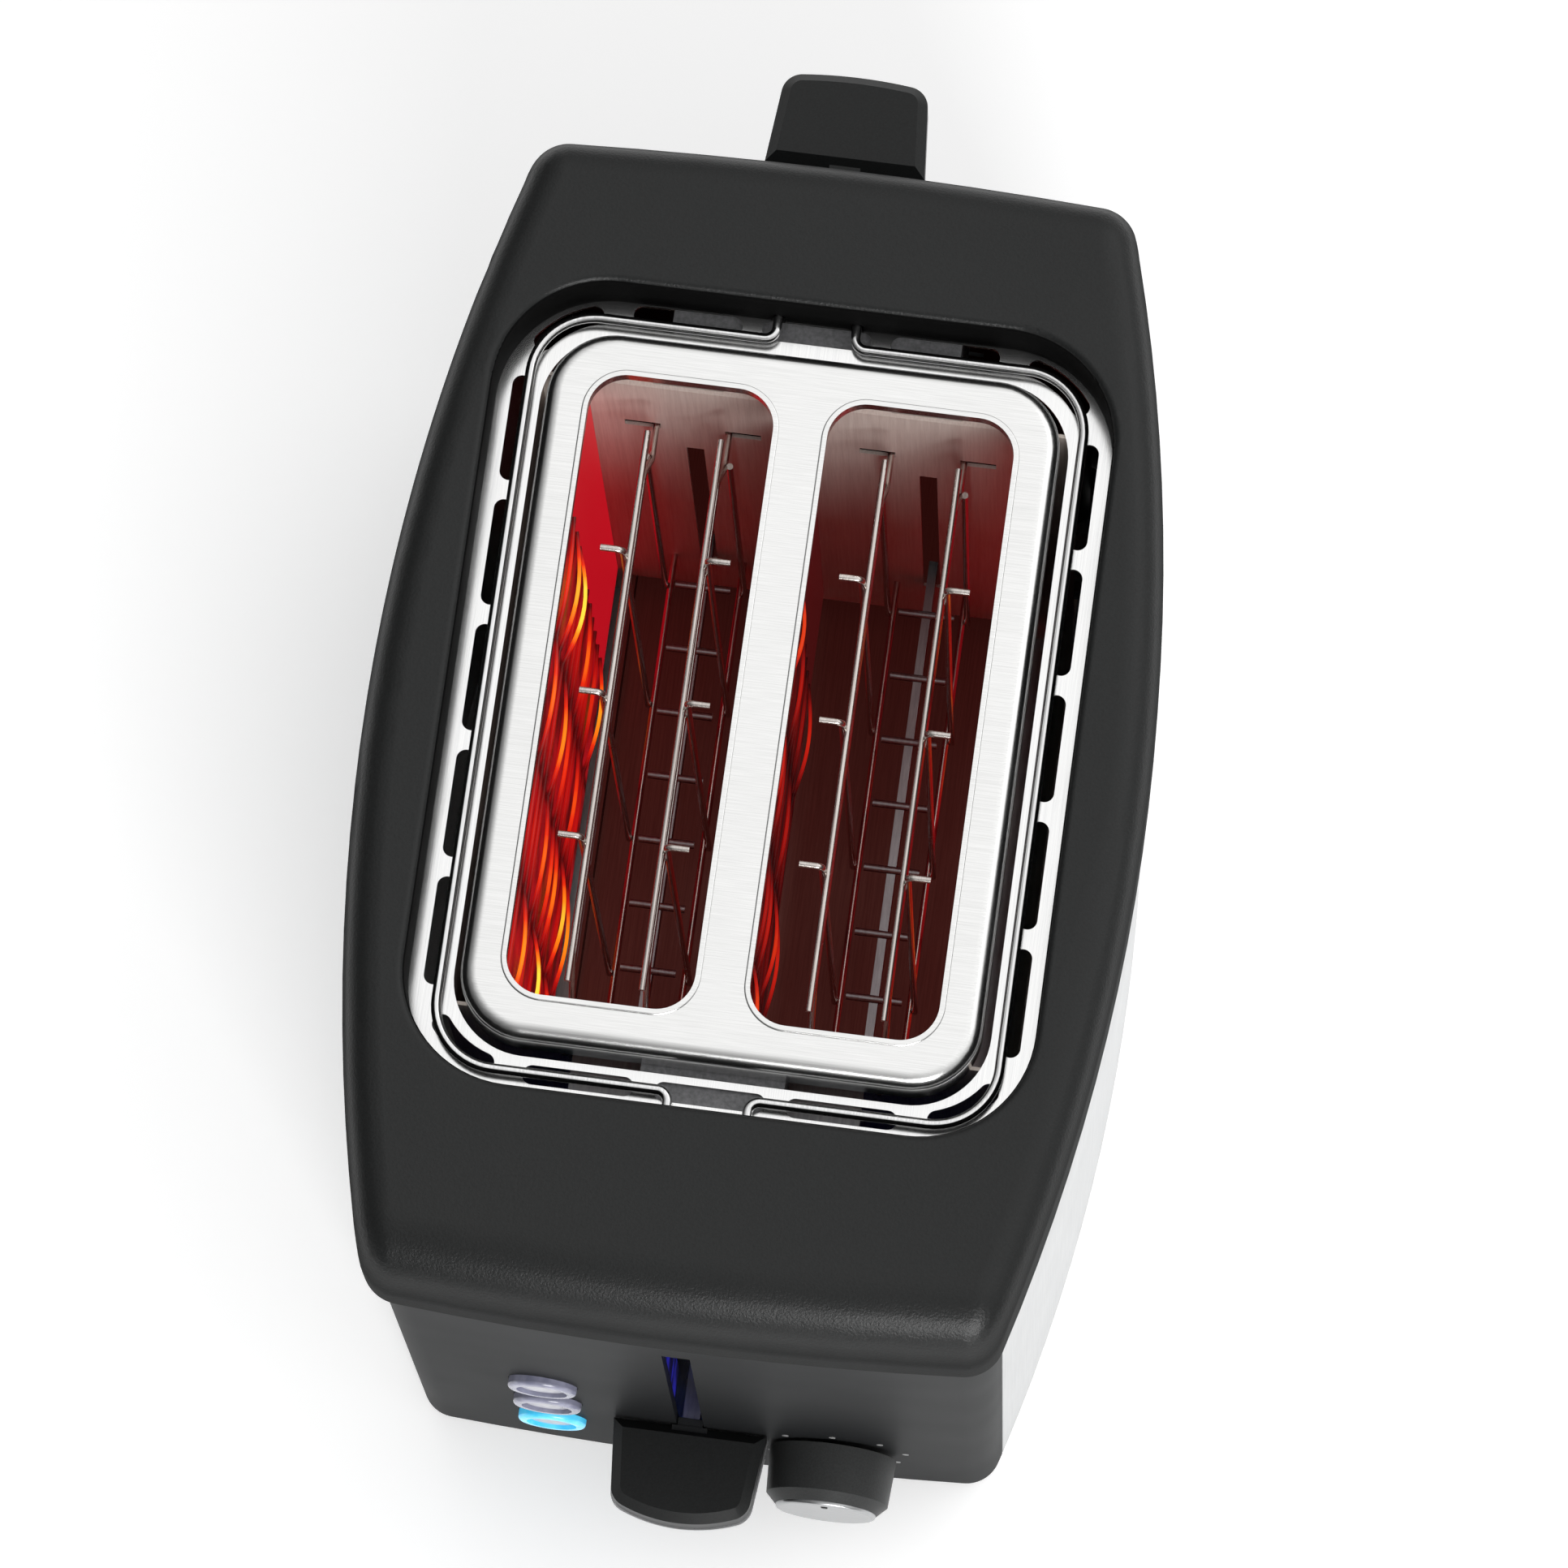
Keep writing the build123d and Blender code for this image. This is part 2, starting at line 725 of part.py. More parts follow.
def carriage_bracket():
    y1 = carriage_y + carriage_plate
    flange_y = guide_y - 11
    half = carriage_half_width
    bracket = block(-half, half, carriage_y, y1, carriage_z, carriage_z + carriage_height)
    bracket += block(-half + 2, half - 2, flange_y, y1, carriage_z, carriage_z + carriage_plate)
    bracket += post(-guide_x, guide_y, bush_radius, carriage_z, carriage_z + 30)
    bracket += block(-guide_x - 1, -guide_x + 1, guide_y, y1, carriage_z, carriage_z + 28)
    bracket -= post(-guide_x, guide_y, guide_radius + running_gap, carriage_z - 1, carriage_z + 31)
    tongue_tip = panel_front - lever_gap - 10
    left = lever_x - tongue_thickness / 2
    right = lever_x + tongue_thickness / 2
    tongue_top = carriage_z + tongue_height
    return bracket + block(left, right, tongue_tip, flange_y + 4, carriage_z, tongue_top)


def bread_rest(side):
    x = side * slot_x
    half = arm_thickness / 2
    z0 = carriage_z + 2.5
    z1 = z0 + arm_height
    rest = block(x - half, x + half, carriage_y + carriage_plate, wall_rear + 4, z0, z1)
    count = int((slot_length - 16) / rest_pitch) + 1
    for k in range(count):
        y = slot_y + (k - (count - 1) / 2) * rest_pitch
        rest += along_x(y, z1, rest_wire, x - rest_half_width, x + rest_half_width)
    return rest


def lever_outline(y_root, y_tip, width, tip_width, arch):
    toward = 1 if y_tip > y_root else -1
    root = [(-width / 2, y_root), (width / 2, y_root)]
    tip_y = y_tip - toward * arch
    tip = [(tip_width / 2, tip_y), (-tip_width / 2, tip_y)]
    edges = [
        Line(root[0], root[1]),
        Line(root[1], tip[0]),
        ThreePointArc(tip[0], (0, y_tip), tip[1]),
        Line(tip[1], root[0]),
    ]
    face = make_face(edges)
    corners = face.vertices().sort_by(Axis.Y)
    corners = corners[:2] if toward < 0 else corners[-2:]
    return fillet(corners, lever_corner)


def lever_shell(face, z0, z1):
    cap = prism(face, z0, z1)
    cap = chamfer(top_edges(cap), lever_chamfer)
    return cap - prism(offset(face, -lever_wall), z0 - 1, z1 - lever_wall)


def front_lever():
    root = panel_front - lever_gap
    tip = panel_front - lever_reach + 0.35
    face = lever_outline(root, tip, lever_width - 0.7, lever_tip_width - 0.7, lever_arch)
    z0 = lever_z + trim_height
    z1 = lever_z + lever_height
    lever = lever_shell(face, z0, z1)
    half = tongue_thickness / 2 + fit_gap / 3
    core = block(-half - 2, half + 2, root - 14, root, z0, z1 - 1)
    pocket = block(
        -half, half, root - 10 - fit_gap, root + 1, z0 - 1, carriage_z + tongue_height + fit_gap / 3
    )
    neck = block(-half - 0.8, half + 0.8, root - 1, panel_front + 1.5, z0, z1 - 1.2)
    return Pos(lever_x, 0, 0) * (lever + core + neck - pocket - Pos(0, 6, 0) * pocket)


def front_lever_trim():
    root = panel_front - lever_gap
    tip = panel_front - lever_reach
    face = lever_outline(root, tip, lever_width, lever_tip_width, lever_arch)
    z1 = lever_z + trim_height
    band = prism(face, lever_z, z1) - prism(offset(face, -lever_wall - 0.35), lever_z - 1, z1 + 1)
    return Pos(lever_x, 0, 0) * chamfer(band.edges().group_by(Axis.Z)[0], 0.3)


def armature():
    half = magnet_width / 2
    depth = magnet_depth / 2
    y = guide_y - 3
    return block(-half, half, y - depth, y + depth, carriage_z - armature_sheet, carriage_z)


def electromagnet_core():
    half = magnet_width / 2
    depth = magnet_depth / 2
    y = guide_y - 3
    top = carriage_z - armature_sheet - magnet_gap
    core = block(-half, half, y - depth, y + depth, base_top, base_top + 7)
    core += block(-half, -half + magnet_leg, y - depth, y + depth, base_top, top)
    core += block(half - magnet_leg, half, y - depth, y + depth, base_top, top)
    return core + block(-3, 3, y - depth, y + depth, base_top, top)


def electromagnet_coil():
    depth = magnet_depth / 2
    y = guide_y - 3
    half = magnet_width / 2 - magnet_leg - 0.3
    coil = block(-half, half, y - depth - 2.4, y + depth + 2.4, base_top + 9, base_top + 26)
    return coil - block(-3.1, 3.1, y - depth - 0.1, y + depth + 0.1, base_top, base_top + 30)


def return_spring():
    z0 = carriage_z + carriage_plate + 0.3
    z1 = bracket_z - 0.3
    height = z1 - z0 - 2 * spring_wire
    path = Pos(guide_x, guide_y, z0 + spring_wire) * Helix(height / spring_turns, height, spring_radius)
    start = Plane(path @ 0, z_dir=path % 0)
    return sweep(start * Circle(spring_wire), path=path, is_frenet=True)


def guide_rod():
    return post(-guide_x, guide_y, guide_radius, base_top, bracket_z)


def guide_bracket():
    half = guide_x + 12
    y0 = guide_y - 12
    bracket = block(-half, half, y0, wall_front - wall_sheet, bracket_z, bracket_z + 1.2)
    flange = block(
        -half, half, wall_front - wall_sheet - 1.2, wall_front - wall_sheet, bracket_z - 9, bracket_z
    )
    swing = sin(radians(guard_open)) * (bracket_z - guard_pivot_z)
    clear = guard_spread + swing + 2 * guard_wire
    for x in (-slot_x, slot_x):
        flange -= block(x - clear, x + clear, wall_front - 6, wall_front, bracket_z - 10, bracket_z)
    return bracket + flange


def button_heights():
    return [button_z + k * button_pitch for k in (1, 0, -1)]


def control_board_holes():
    return [(x, z) for x in (-48, -16) for z in (27, 88)]


def timer_board_holes():
    return [(x, z) for x in (12, 47) for z in (16, 58)]


def circuit_board(holes):
    xs = [x for x, z in holes]
    zs = [z for x, z in holes]
    board = block(
        min(xs) - 4, max(xs) + 4, circuit_y, circuit_y + circuit_sheet, min(zs) - 4, max(zs) + 4
    )
    for x, z in holes:
        board -= along_y(x, z, 1.1, circuit_y - 1, circuit_y + 4)
    return board


def control_board():
    board = circuit_board(control_board_holes())
    back = circuit_y + circuit_sheet
    board += block(-48, -34, back, back + 6, 60, 74)
    board += along_y(-22, 70, 4, back, back + 9)
    return board


def timer_board():
    board = circuit_board(timer_board_holes())
    back = circuit_y + circuit_sheet
    return board + block(20, 34, back, back + 5, 46, 56)


def button_switches():
    group = Part()
    face = switch_face()
    for z in button_heights():
        group += block(button_x - 3, button_x + 3, face, circuit_y, z - 3, z + 3)
        group += along_y(button_x, z, 1.7, face - 0.8, face)
    return group


def switch_face():
    return circuit_y - 4.0


def indicator_lamps():
    group = Part()
    for z in button_heights():
        group += along_y(button_x + 9, z + 5, 1.5, circuit_y - 3, circuit_y)
    return group + along_y(-14, 84, 1.5, circuit_y - 3, circuit_y)


def ring_back():
    return front_surface(abs(button_x) + 12) + panel_wall + 0.3


def button_rings():
    face = front_surface(button_x) - button_proud
    back = ring_back()
    group = Part()
    for z in button_heights():
        ring = along_y(button_x, z, ring_radius, face, back + 1.6)
        ring = fillet(ring.edges().group_by(Axis.Y)[0], 1.0)
        ring += along_y(button_x, z, ring_radius + 1.25, back, back + 1.6)
        group += ring - along_y(button_x, z, ring_hole, face - 1, back + 3)
    return group


def push_button(index):
    z = button_heights()[index]
    face = front_surface(button_x) - button_proud + button_sink
    back = ring_back() + 1.6
    cap = along_y(button_x, z, button_radius, face, back + fit_gap + 0.5)
    cap = fillet(cap.edges().group_by(Axis.Y)[0], 0.6)
    cap -= Pos(button_x, face + 0.4 - button_dish, z) * Sphere(button_dish)
    cap += along_y(button_x, z, button_radius + 1.4, back + fit_gap, back + fit_gap + 1)
    stem_end = switch_face() - 0.8 - button_travel - 0.3
    return cap + along_y(button_x, z, 1.8, back, stem_end)


def knob_face():
    return panel_front + 0.3 - knob_gap


def browning_knob():
    root = knob_face()
    tip = root - knob_length
    profile = Polyline(
        (0, root), (knob_radius, root), (knob_end_radius, tip + knob_chamfer),
        (knob_end_radius - knob_chamfer, tip), (0, tip), close=True,
    )
    section = make_face(Plane.XY * profile)
    knob = revolve(section, axis=Axis.Y)
    hollow = Pos(0, (root + tip + knob_wall) / 2 + 0.5, 0) * Rot(90, 0, 0) * Cylinder(
        knob_end_radius - knob_wall, knob_length - knob_wall + 1
    )
    hub = Pos(0, root - knob_length / 2 + 0.5, 0) * Rot(90, 0, 0) * Cylinder(6.0, knob_length - 1)
    bore = Pos(0, root - knob_length / 2 + 1.5, 0) * Rot(90, 0, 0) * Cylinder(
        shaft_radius + 0.03, knob_length - 3
    )
    return Pos(knob_x, 0, knob_z) * (knob - (hollow - hub) - bore)


def knob_end_cap():
    tip = knob_face() - knob_length
    radius = knob_end_radius - knob_chamfer - 0.2
    cap = along_y(knob_x, knob_z, radius, tip - 1.0, tip)
    cap = fillet(cap.edges().group_by(Axis.Y)[0], 0.8)
    pit = along_y(knob_x, knob_z + radius - 2.6, 0.9, tip - 2, tip - 0.4)
    return cap - pit


def potentiometer():
    housing = along_y(knob_x, knob_z, pot_radius, circuit_y - 7, circuit_y)
    housing += along_y(knob_x, knob_z, 4.6, circuit_y - 11, circuit_y - 7)
    return housing - along_y(knob_x, knob_z, shaft_radius + running_gap, circuit_y - 12, circuit_y - 2)


def knob_shaft():
    tip = knob_face() - knob_length
    return along_y(knob_x, knob_z, shaft_radius, tip + 3.2, circuit_y - 2.5)


def slit_light_guides():
    y0 = panel_front + panel_wall + 0.2
    z0 = carriage_z + 12
    z1 = carriage_z + carriage_travel + tongue_height + 3
    return Pos(lever_x, 0, 0) * both(lambda s: block(*sorted((s * 4.0, s * 5.8)), y0, y0 + 9, z0, z1))


def rack_bearing_front():
    y1 = front_bearing_y
    y0 = y1 - 6
    floor = bracket_z + 1.2
    half = rack_pivot_x + 7
    bearing = block(-half, half, y0, wall_front - wall_sheet - 4, floor, vent_bottom - fit_gap)
    bearing -= block(
        -half + 2, half - 2, y0 + 2, wall_front - wall_sheet - 6, floor - 1, vent_bottom - 3
    )
    bearing += block(-half, half, y0, y1 - 1.5, vent_bottom - 1, rack_z + 4)
    for x in (-rack_pivot_x, rack_pivot_x):
        bearing -= along_y(x, rack_z, rack_wire + running_gap, y0 - 1, y1)
    return bearing


def rack_bearing_rear():
    y0 = wall_rear + wall_sheet
    y1 = crank_y - fit_gap
    half = yoke_half_width + 4.4
    bottom = yoke_bottom() - lever_travel() - 4
    top = rack_z + 4
    shelf = guard_slot_z + 5
    bearing = block(-half, half, y0, y1, shelf, vent_bottom - fit_gap)
    bearing -= block(-half + 3, half - 3, y0 + 2, y1 - 2, shelf - 1, vent_bottom - 4)
    bearing += block(-half, half, rear_bearing_y, y1, bottom, top)
    rail_end = yoke_y + yoke_sheet + 2.2
    for side in (-1, 1):
        inner = side * (yoke_half_width + fit_gap)
        low, high = sorted((inner, side * half))
        bearing += block(low, high, y1 - 0.5, rail_end, bottom, top)
        low, high = sorted((side * (yoke_half_width - 2), side * half))
        bearing += block(low, high, yoke_y + yoke_sheet + fit_gap, rail_end, bottom, top)
        bearing += block(low, high, y1 - 0.5, yoke_y - fit_gap, bottom, top)
    for x in (-rack_pivot_x, rack_pivot_x):
        bearing -= along_y(x, rack_z, rack_wire + running_gap, rear_bearing_y - 1, y1 + 1)
    return bearing


def yoke_bottom():
    return rear_lever_top - rear_lever_neck - 2.5


def bun_rack(side):
    x_in = side * rack_pivot_x
    x_out = side * rack_half_x
    y0 = opening_y - rack_half_y
    y1 = opening_y + rack_half_y
    front_end = front_bearing_y - 7
    rear_end = crank_y + crank_sheet if side < 0 else right_crank_y + crank_sheet
    points = [
        (x_in, front_end, rack_z), (x_in, y0, rack_z), (x_out, y0, rack_z),
        (x_out, y1, rack_z), (x_in, y1, rack_z), (x_in, rear_end, rack_z),
    ]
    bends = [rack_bend, rack_corner, rack_corner, rack_bend]
    return wire(points, bends, rack_wire)


def rack_crank(side):
    y0 = crank_y if side < 0 else right_crank_y
    y1 = y0 + crank_sheet
    pivot = side * rack_pivot_x
    start = radians(crank_start)
    pin_x = pivot - side * crank_radius * cos(start)
    pin_z = rack_z + crank_radius * sin(start)
    middle_x = (pivot + pin_x) / 2
    middle_z = (rack_z + pin_z) / 2
    tilt = degrees(atan2(pin_z - rack_z, pin_x - pivot))
    arm = along_y(pivot, rack_z, crank_hub, y0, y1) + along_y(pin_x, pin_z, 2.4, y0, y1)
    web = Box(crank_radius, crank_sheet, 3.6)
    arm += Pos(middle_x, (y0 + y1) / 2, middle_z) * Rot(0, -tilt, 0) * web
    reach = yoke_sheet / 2 + fit_gap - 0.2
    pin = along_y(pin_x, pin_z, crank_pin, *sorted((y1, y1 + reach) if side < 0 else (y0, y0 - reach)))
    return arm + pin - along_y(pivot, rack_z, rack_wire + 0.03, y0 - 1, y1 + 1)


def rack_slider():
    y0 = yoke_y
    y1 = yoke_y + yoke_sheet
    start = radians(crank_start)
    end = radians(crank_start - rack_swing)
    pin_z = rack_z + crank_radius * sin(start)
    reach = [crank_radius * cos(a) - rack_pivot_x for a in (start, end, 0)]
    slot_half = max(abs(r) for r in reach) + crank_pin + 0.4
    slot_low = pin_z - crank_pin - yoke_play
    slot_high = pin_z + crank_pin + yoke_play
    bottom = yoke_bottom()
    half = yoke_half_width
    top = slot_low - 2.2
    plate = block(-half, half, y0, y1, bottom, top - 6)
    plate += block(-slot_half - 1.4, slot_half + 1.4, y0, y1, bottom, slot_high + 1.4)
    plate -= block(-slot_half, slot_half, y0 - 1, y1 + 1, slot_low, slot_high)
    stem_z = rear_lever_top - rear_lever_neck
    stem = rear_stem_half - 1
    return plate + block(-stem, stem, y1 - 0.5, panel_rear + 8, stem_z + 1, stem_z + 5)


def rear_lever():
    tip = panel_rear + rear_lever_reach
    root = tip - 22
    face = lever_outline(root, tip, lever_width, lever_tip_width, rear_lever_arch)
    z1 = rear_lever_top
    z0 = z1 - 10
    stem_z = rear_lever_top - rear_lever_neck
    lever = lever_shell(face, z0, z1)
    neck_root = panel_rear + 2.2
    neck = block(-lever_width / 2 + 0.5, lever_width / 2 - 0.5, neck_root, root + 1, z0, z0 + 3)
    half = rear_stem_half
    neck += block(-half, half, neck_root, root + 8, z0, stem_z + 6.5)
    hole = half - 1 + fit_gap / 3
    pocket = block(
        -hole, hole, neck_root - 1, panel_rear + 8 + fit_gap,
        stem_z + 1 - fit_gap / 3, stem_z + 5 + fit_gap / 3,
    )
    return lever + neck - pocket


def crumb_tray():
    y0 = wall_front + 1
    y1 = panel_rear - 11.5
    half = tray_half_width
    tray = block(-half, half, y0, y1, tray_z, tray_z + tray_height)
    return tray - block(
        -half + tray_sheet, half - tray_sheet, y0 + tray_sheet, y1 - tray_sheet,
        tray_z + tray_sheet, tray_z + tray_height + 1,
    )


def crumb_tray_handle():
    y0 = panel_rear - 11.5
    half = tray_half_width + 0.5
    bar = block(-half, half, y0, panel_rear - rear_bow, tray_z, tray_z + handle_height)
    bar += block(-18, 18, panel_rear - rear_bow, panel_rear + 3, tray_z + 5, tray_z + 8)
    return bar - block(
        -16, 16, panel_rear - rear_bow - 5, panel_rear + 1, tray_z + 1.5, tray_z + 5
    )


def cord_gland():
    outer = panel_rear + 5
    inner = panel_rear - 9
    gland = along_y(gland_x, gland_z, gland_radius, inner, outer)
    gland = chamfer(gland.edges().group_by(Axis.Y)[-1], 1.5)
    gland += along_y(gland_x, gland_z, gland_radius + 2, inner, inner + 2.5)
    return gland - along_y(gland_x, gland_z, gland_bore, inner - 1, outer + 1)


def terminal_block():
    y0 = wall_rear + wall_sheet + foot_flange + 1
    x0 = tray_half_width + 2
    body_block = block(x0, x0 + terminal_width, y0, y0 + 12, base_top, base_top + 13)
    for k in range(2):
        x = x0 + terminal_width * (0.27 + 0.46 * k)
        body_block -= post(x, y0 + 6, 1.6, base_top + 6, base_top + 14)
        body_block -= along_y(x, base_top + 5, 1.4, y0 - 1, y0 + 13)
    return body_block


nodes = {
    "top_cover": top_cover,
    "vent_plate": vent_plate,
    "slot_plate": slot_plate,
    "front_panel": front_panel,
    "rear_panel": rear_panel,
    "side_panel_left": lambda: side_panel(-1),
    "side_panel_right": lambda: side_panel(1),
    "base_plate": base_plate,
    "rubber_feet": rubber_feet,
    "screws": screws,
    "chassis_front_wall": chassis_front_wall,
    "chassis_rear_wall": chassis_rear_wall,
    "reflector_left": lambda: reflector(-1),
    "reflector_right": lambda: reflector(1),
    "heater_board_left": lambda: heater_board(-board_x),
    "heater_board_centre": lambda: heater_board(0),
    "heater_board_right": lambda: heater_board(board_x),
    "heating_wire_left": lambda: heating_ribbon(-board_x, 1),
    "heating_wire_centre": lambda: both(lambda s: heating_ribbon(0, s)),
    "heating_wire_right": lambda: heating_ribbon(board_x, -1),
    "bread_guard_left_outer": lambda: bread_guard(-1, -1),
    "bread_guard_left_inner": lambda: bread_guard(-1, 1),
    "bread_guard_right_inner": lambda: bread_guard(1, -1),
    "bread_guard_right_outer": lambda: bread_guard(1, 1),
    "carriage_bracket": carriage_bracket,
    "bread_rest_left": lambda: bread_rest(-1),
    "bread_rest_right": lambda: bread_rest(1),
    "front_lever": front_lever,
    "front_lever_trim": front_lever_trim,
    "armature": armature,
    "return_spring": return_spring,
    "guide_rod": guide_rod,
    "guide_bracket": guide_bracket,
    "electromagnet_core": electromagnet_core,
    "electromagnet_coil": electromagnet_coil,
    "control_board": control_board,
    "timer_board": timer_board,
    "button_switches": button_switches,
    "indicator_lamps": indicator_lamps,
    "button_rings": button_rings,
    "upper_button": lambda: push_button(0),
    "middle_button": lambda: push_button(1),
    "lower_button": lambda: push_button(2),
    "browning_knob": browning_knob,
    "knob_end_cap": knob_end_cap,
    "knob_shaft": knob_shaft,
    "potentiometer": potentiometer,
    "slit_light_guides": slit_light_guides,
    "rack_bearing_front": rack_bearing_front,
    "rack_bearing_rear": rack_bearing_rear,
    "bun_rack_left": lambda: bun_rack(-1),
    "bun_rack_right": lambda: bun_rack(1),
    "rack_crank_left": lambda: rack_crank(-1),
    "rack_crank_right": lambda: rack_crank(1),
    "rack_slider": rack_slider,
    "rear_lever": rear_lever,
    "crumb_tray": crumb_tray,
    "crumb_tray_handle": crumb_tray_handle,
    "cord_gland": cord_gland,
    "terminal_block": terminal_block,
}

os.makedirs("parts", exist_ok=True)
for name, make in nodes.items():
    export_step(make(), "parts/" + name + ".step")
print("slot centre y", round(slot_y, 3), "rack lever travel", round(lever_travel(), 3))
print("guard pivots x", round(slot_x - guard_spread, 3), round(slot_x + guard_spread, 3))
print("nodes", len(nodes))
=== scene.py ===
import bpy
import bmesh
import json
import math
from mathutils import Matrix, Vector
from mathutils.bvhtree import BVHTree


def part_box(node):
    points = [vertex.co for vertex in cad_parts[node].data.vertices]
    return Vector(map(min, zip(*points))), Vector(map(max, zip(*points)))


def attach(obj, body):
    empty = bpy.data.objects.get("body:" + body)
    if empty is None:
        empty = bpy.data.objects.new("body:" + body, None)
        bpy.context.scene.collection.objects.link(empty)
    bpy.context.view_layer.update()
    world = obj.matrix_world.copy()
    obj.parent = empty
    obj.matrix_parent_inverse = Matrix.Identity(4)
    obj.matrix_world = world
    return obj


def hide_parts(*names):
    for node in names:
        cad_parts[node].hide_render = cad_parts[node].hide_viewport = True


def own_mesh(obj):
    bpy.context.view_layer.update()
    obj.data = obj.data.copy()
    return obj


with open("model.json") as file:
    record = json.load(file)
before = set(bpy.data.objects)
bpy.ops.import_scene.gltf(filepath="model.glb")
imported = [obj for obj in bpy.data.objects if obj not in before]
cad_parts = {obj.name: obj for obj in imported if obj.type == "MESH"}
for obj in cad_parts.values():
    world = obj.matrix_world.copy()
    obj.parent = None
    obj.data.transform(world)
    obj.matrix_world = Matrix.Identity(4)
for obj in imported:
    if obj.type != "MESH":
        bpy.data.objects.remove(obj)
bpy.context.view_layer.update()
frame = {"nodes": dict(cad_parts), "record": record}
print("frame loaded")

nodes = frame["nodes"]
bodyOfNode = {}
for bodyName, members in frame["record"]["behaviour"]["bodies"].items():
    for member in members:
        bodyOfNode[member] = bodyName
mm = 0.001
scene = bpy.context.scene


def linear(hexColour):
    # sRGB hex to linear colour
    channels = [int(hexColour[i:i + 2], 16) / 255 for i in (1, 3, 5)]
    return tuple(c / 12.92 if c <= 0.04045 else ((c + 0.055) / 1.055) ** 2.4 for c in channels) + (1.0,)


def grey(value):
    return (value, value, value, 1.0)


def addNode(tree, kind, settings=None, links=None):
    # settings: socket or property -> value, and "stops" -> a ramp's (place, colour) pairs
    # links: socket -> the output that feeds it
    node = tree.nodes.new(kind)
    for key, value in (settings or {}).items():
        if key == "stops":
            elements = node.color_ramp.elements
            while len(elements) < len(value):
                elements.new(0.5)
            for element, (place, colour) in zip(elements, value):
                element.position = place
                element.color = colour
        elif isinstance(key, str) and hasattr(node, key):
            setattr(node, key, value)
        else:
            node.inputs[key].default_value = value
    for key, source in (links or {}).items():
        tree.links.new(source, node.inputs[key])
    return node


# Materials: each is one Principled shader, and its patterns are laid out in millimetres on the piece
noiseLow, noiseHigh = 0.3, 0.7  # nearly all of a noise lies between these


def newMaterial(name):
    material = bpy.data.materials.new(name)
    material.use_nodes = True
    tree = material.node_tree
    tree.nodes.clear()
    output = tree.nodes.new("ShaderNodeOutputMaterial")
    shader = tree.nodes.new("ShaderNodeBsdfPrincipled")
    tree.links.new(shader.outputs["BSDF"], output.inputs["Surface"])
    coords = tree.nodes.new("ShaderNodeTexCoord").outputs["Object"]
    return material, tree, shader, coords


def facingPart(tree, axis):
    # How far the surface looks along an axis of its piece, from -1 to 1
    facing = tree.nodes.new("ShaderNodeTexCoord").outputs["Normal"]
    return addNode(tree, "ShaderNodeSeparateXYZ", links={0: facing}).outputs[axis]


def tintAndRelief(tree, shader, pattern, look, depthMm):
    # The pattern runs from the dark colour to the light one and stands depthMm proud
    tint = addNode(tree, "ShaderNodeValToRGB",
                   {"stops": [(noiseLow, linear(look["dark"])), (noiseHigh, linear(look["light"]))]},
                   {"Fac": pattern})
    tree.links.new(tint.outputs["Color"], shader.inputs["Base Color"])
    relief = addNode(tree, "ShaderNodeBump", {"Distance": depthMm * mm}, {"Height": pattern})
    tree.links.new(relief.outputs["Normal"], shader.inputs["Normal"])


def wornRoughness(tree, coords, look):
    # Handling and heat leave patches, so the roughness drifts between its two values
    patches = addNode(tree, "ShaderNodeTexNoise",
                      {"Scale": 1 / (look["patchMm"] * mm), "Detail": look["patchDetail"]},
                      {"Vector": coords})
    low, high = look["roughness"]
    return addNode(tree, "ShaderNodeMapRange",
                   {"From Min": noiseLow, "From Max": noiseHigh, "To Min": low, "To Max": high},
                   {"Value": patches.outputs["Fac"]}).outputs["Result"]


def mouldedPlastic(name, look):
    # ABS from a spark-eroded mould: fine even grain that breaks up the highlight.
    # Real grain is near 0.1 mm; it is drawn several times coarser, so that it shows
    material, tree, shader, coords = newMaterial(name)
    shader.inputs["IOR"].default_value = look["ior"]
    shader.inputs["Specular IOR Level"].default_value = look["specular"]
    grain = addNode(tree, "ShaderNodeTexNoise",
                    {"Scale": 1 / (look["grainMm"] * mm), "Detail": 3.0, "Roughness": 0.6},
                    {"Vector": coords})
    roughness = wornRoughness(tree, coords, look)
    if "wallRoughness" in look:
        # the standing walls of the mould are etched deeper, so they stay dull
        standing = addNode(tree, "ShaderNodeMapRange", {"From Min": 0.6, "From Max": 0.2},
                           {"Value": facingPart(tree, "Z")})
        mixed = addNode(tree, "ShaderNodeMix", {"data_type": "FLOAT", 3: look["wallRoughness"]},
                        {0: standing.outputs["Result"], 2: roughness})
        roughness = mixed.outputs[0]
    tree.links.new(roughness, shader.inputs["Roughness"])
    tintAndRelief(tree, shader, grain.outputs["Fac"], look, look["grainDepthMm"])
    return material


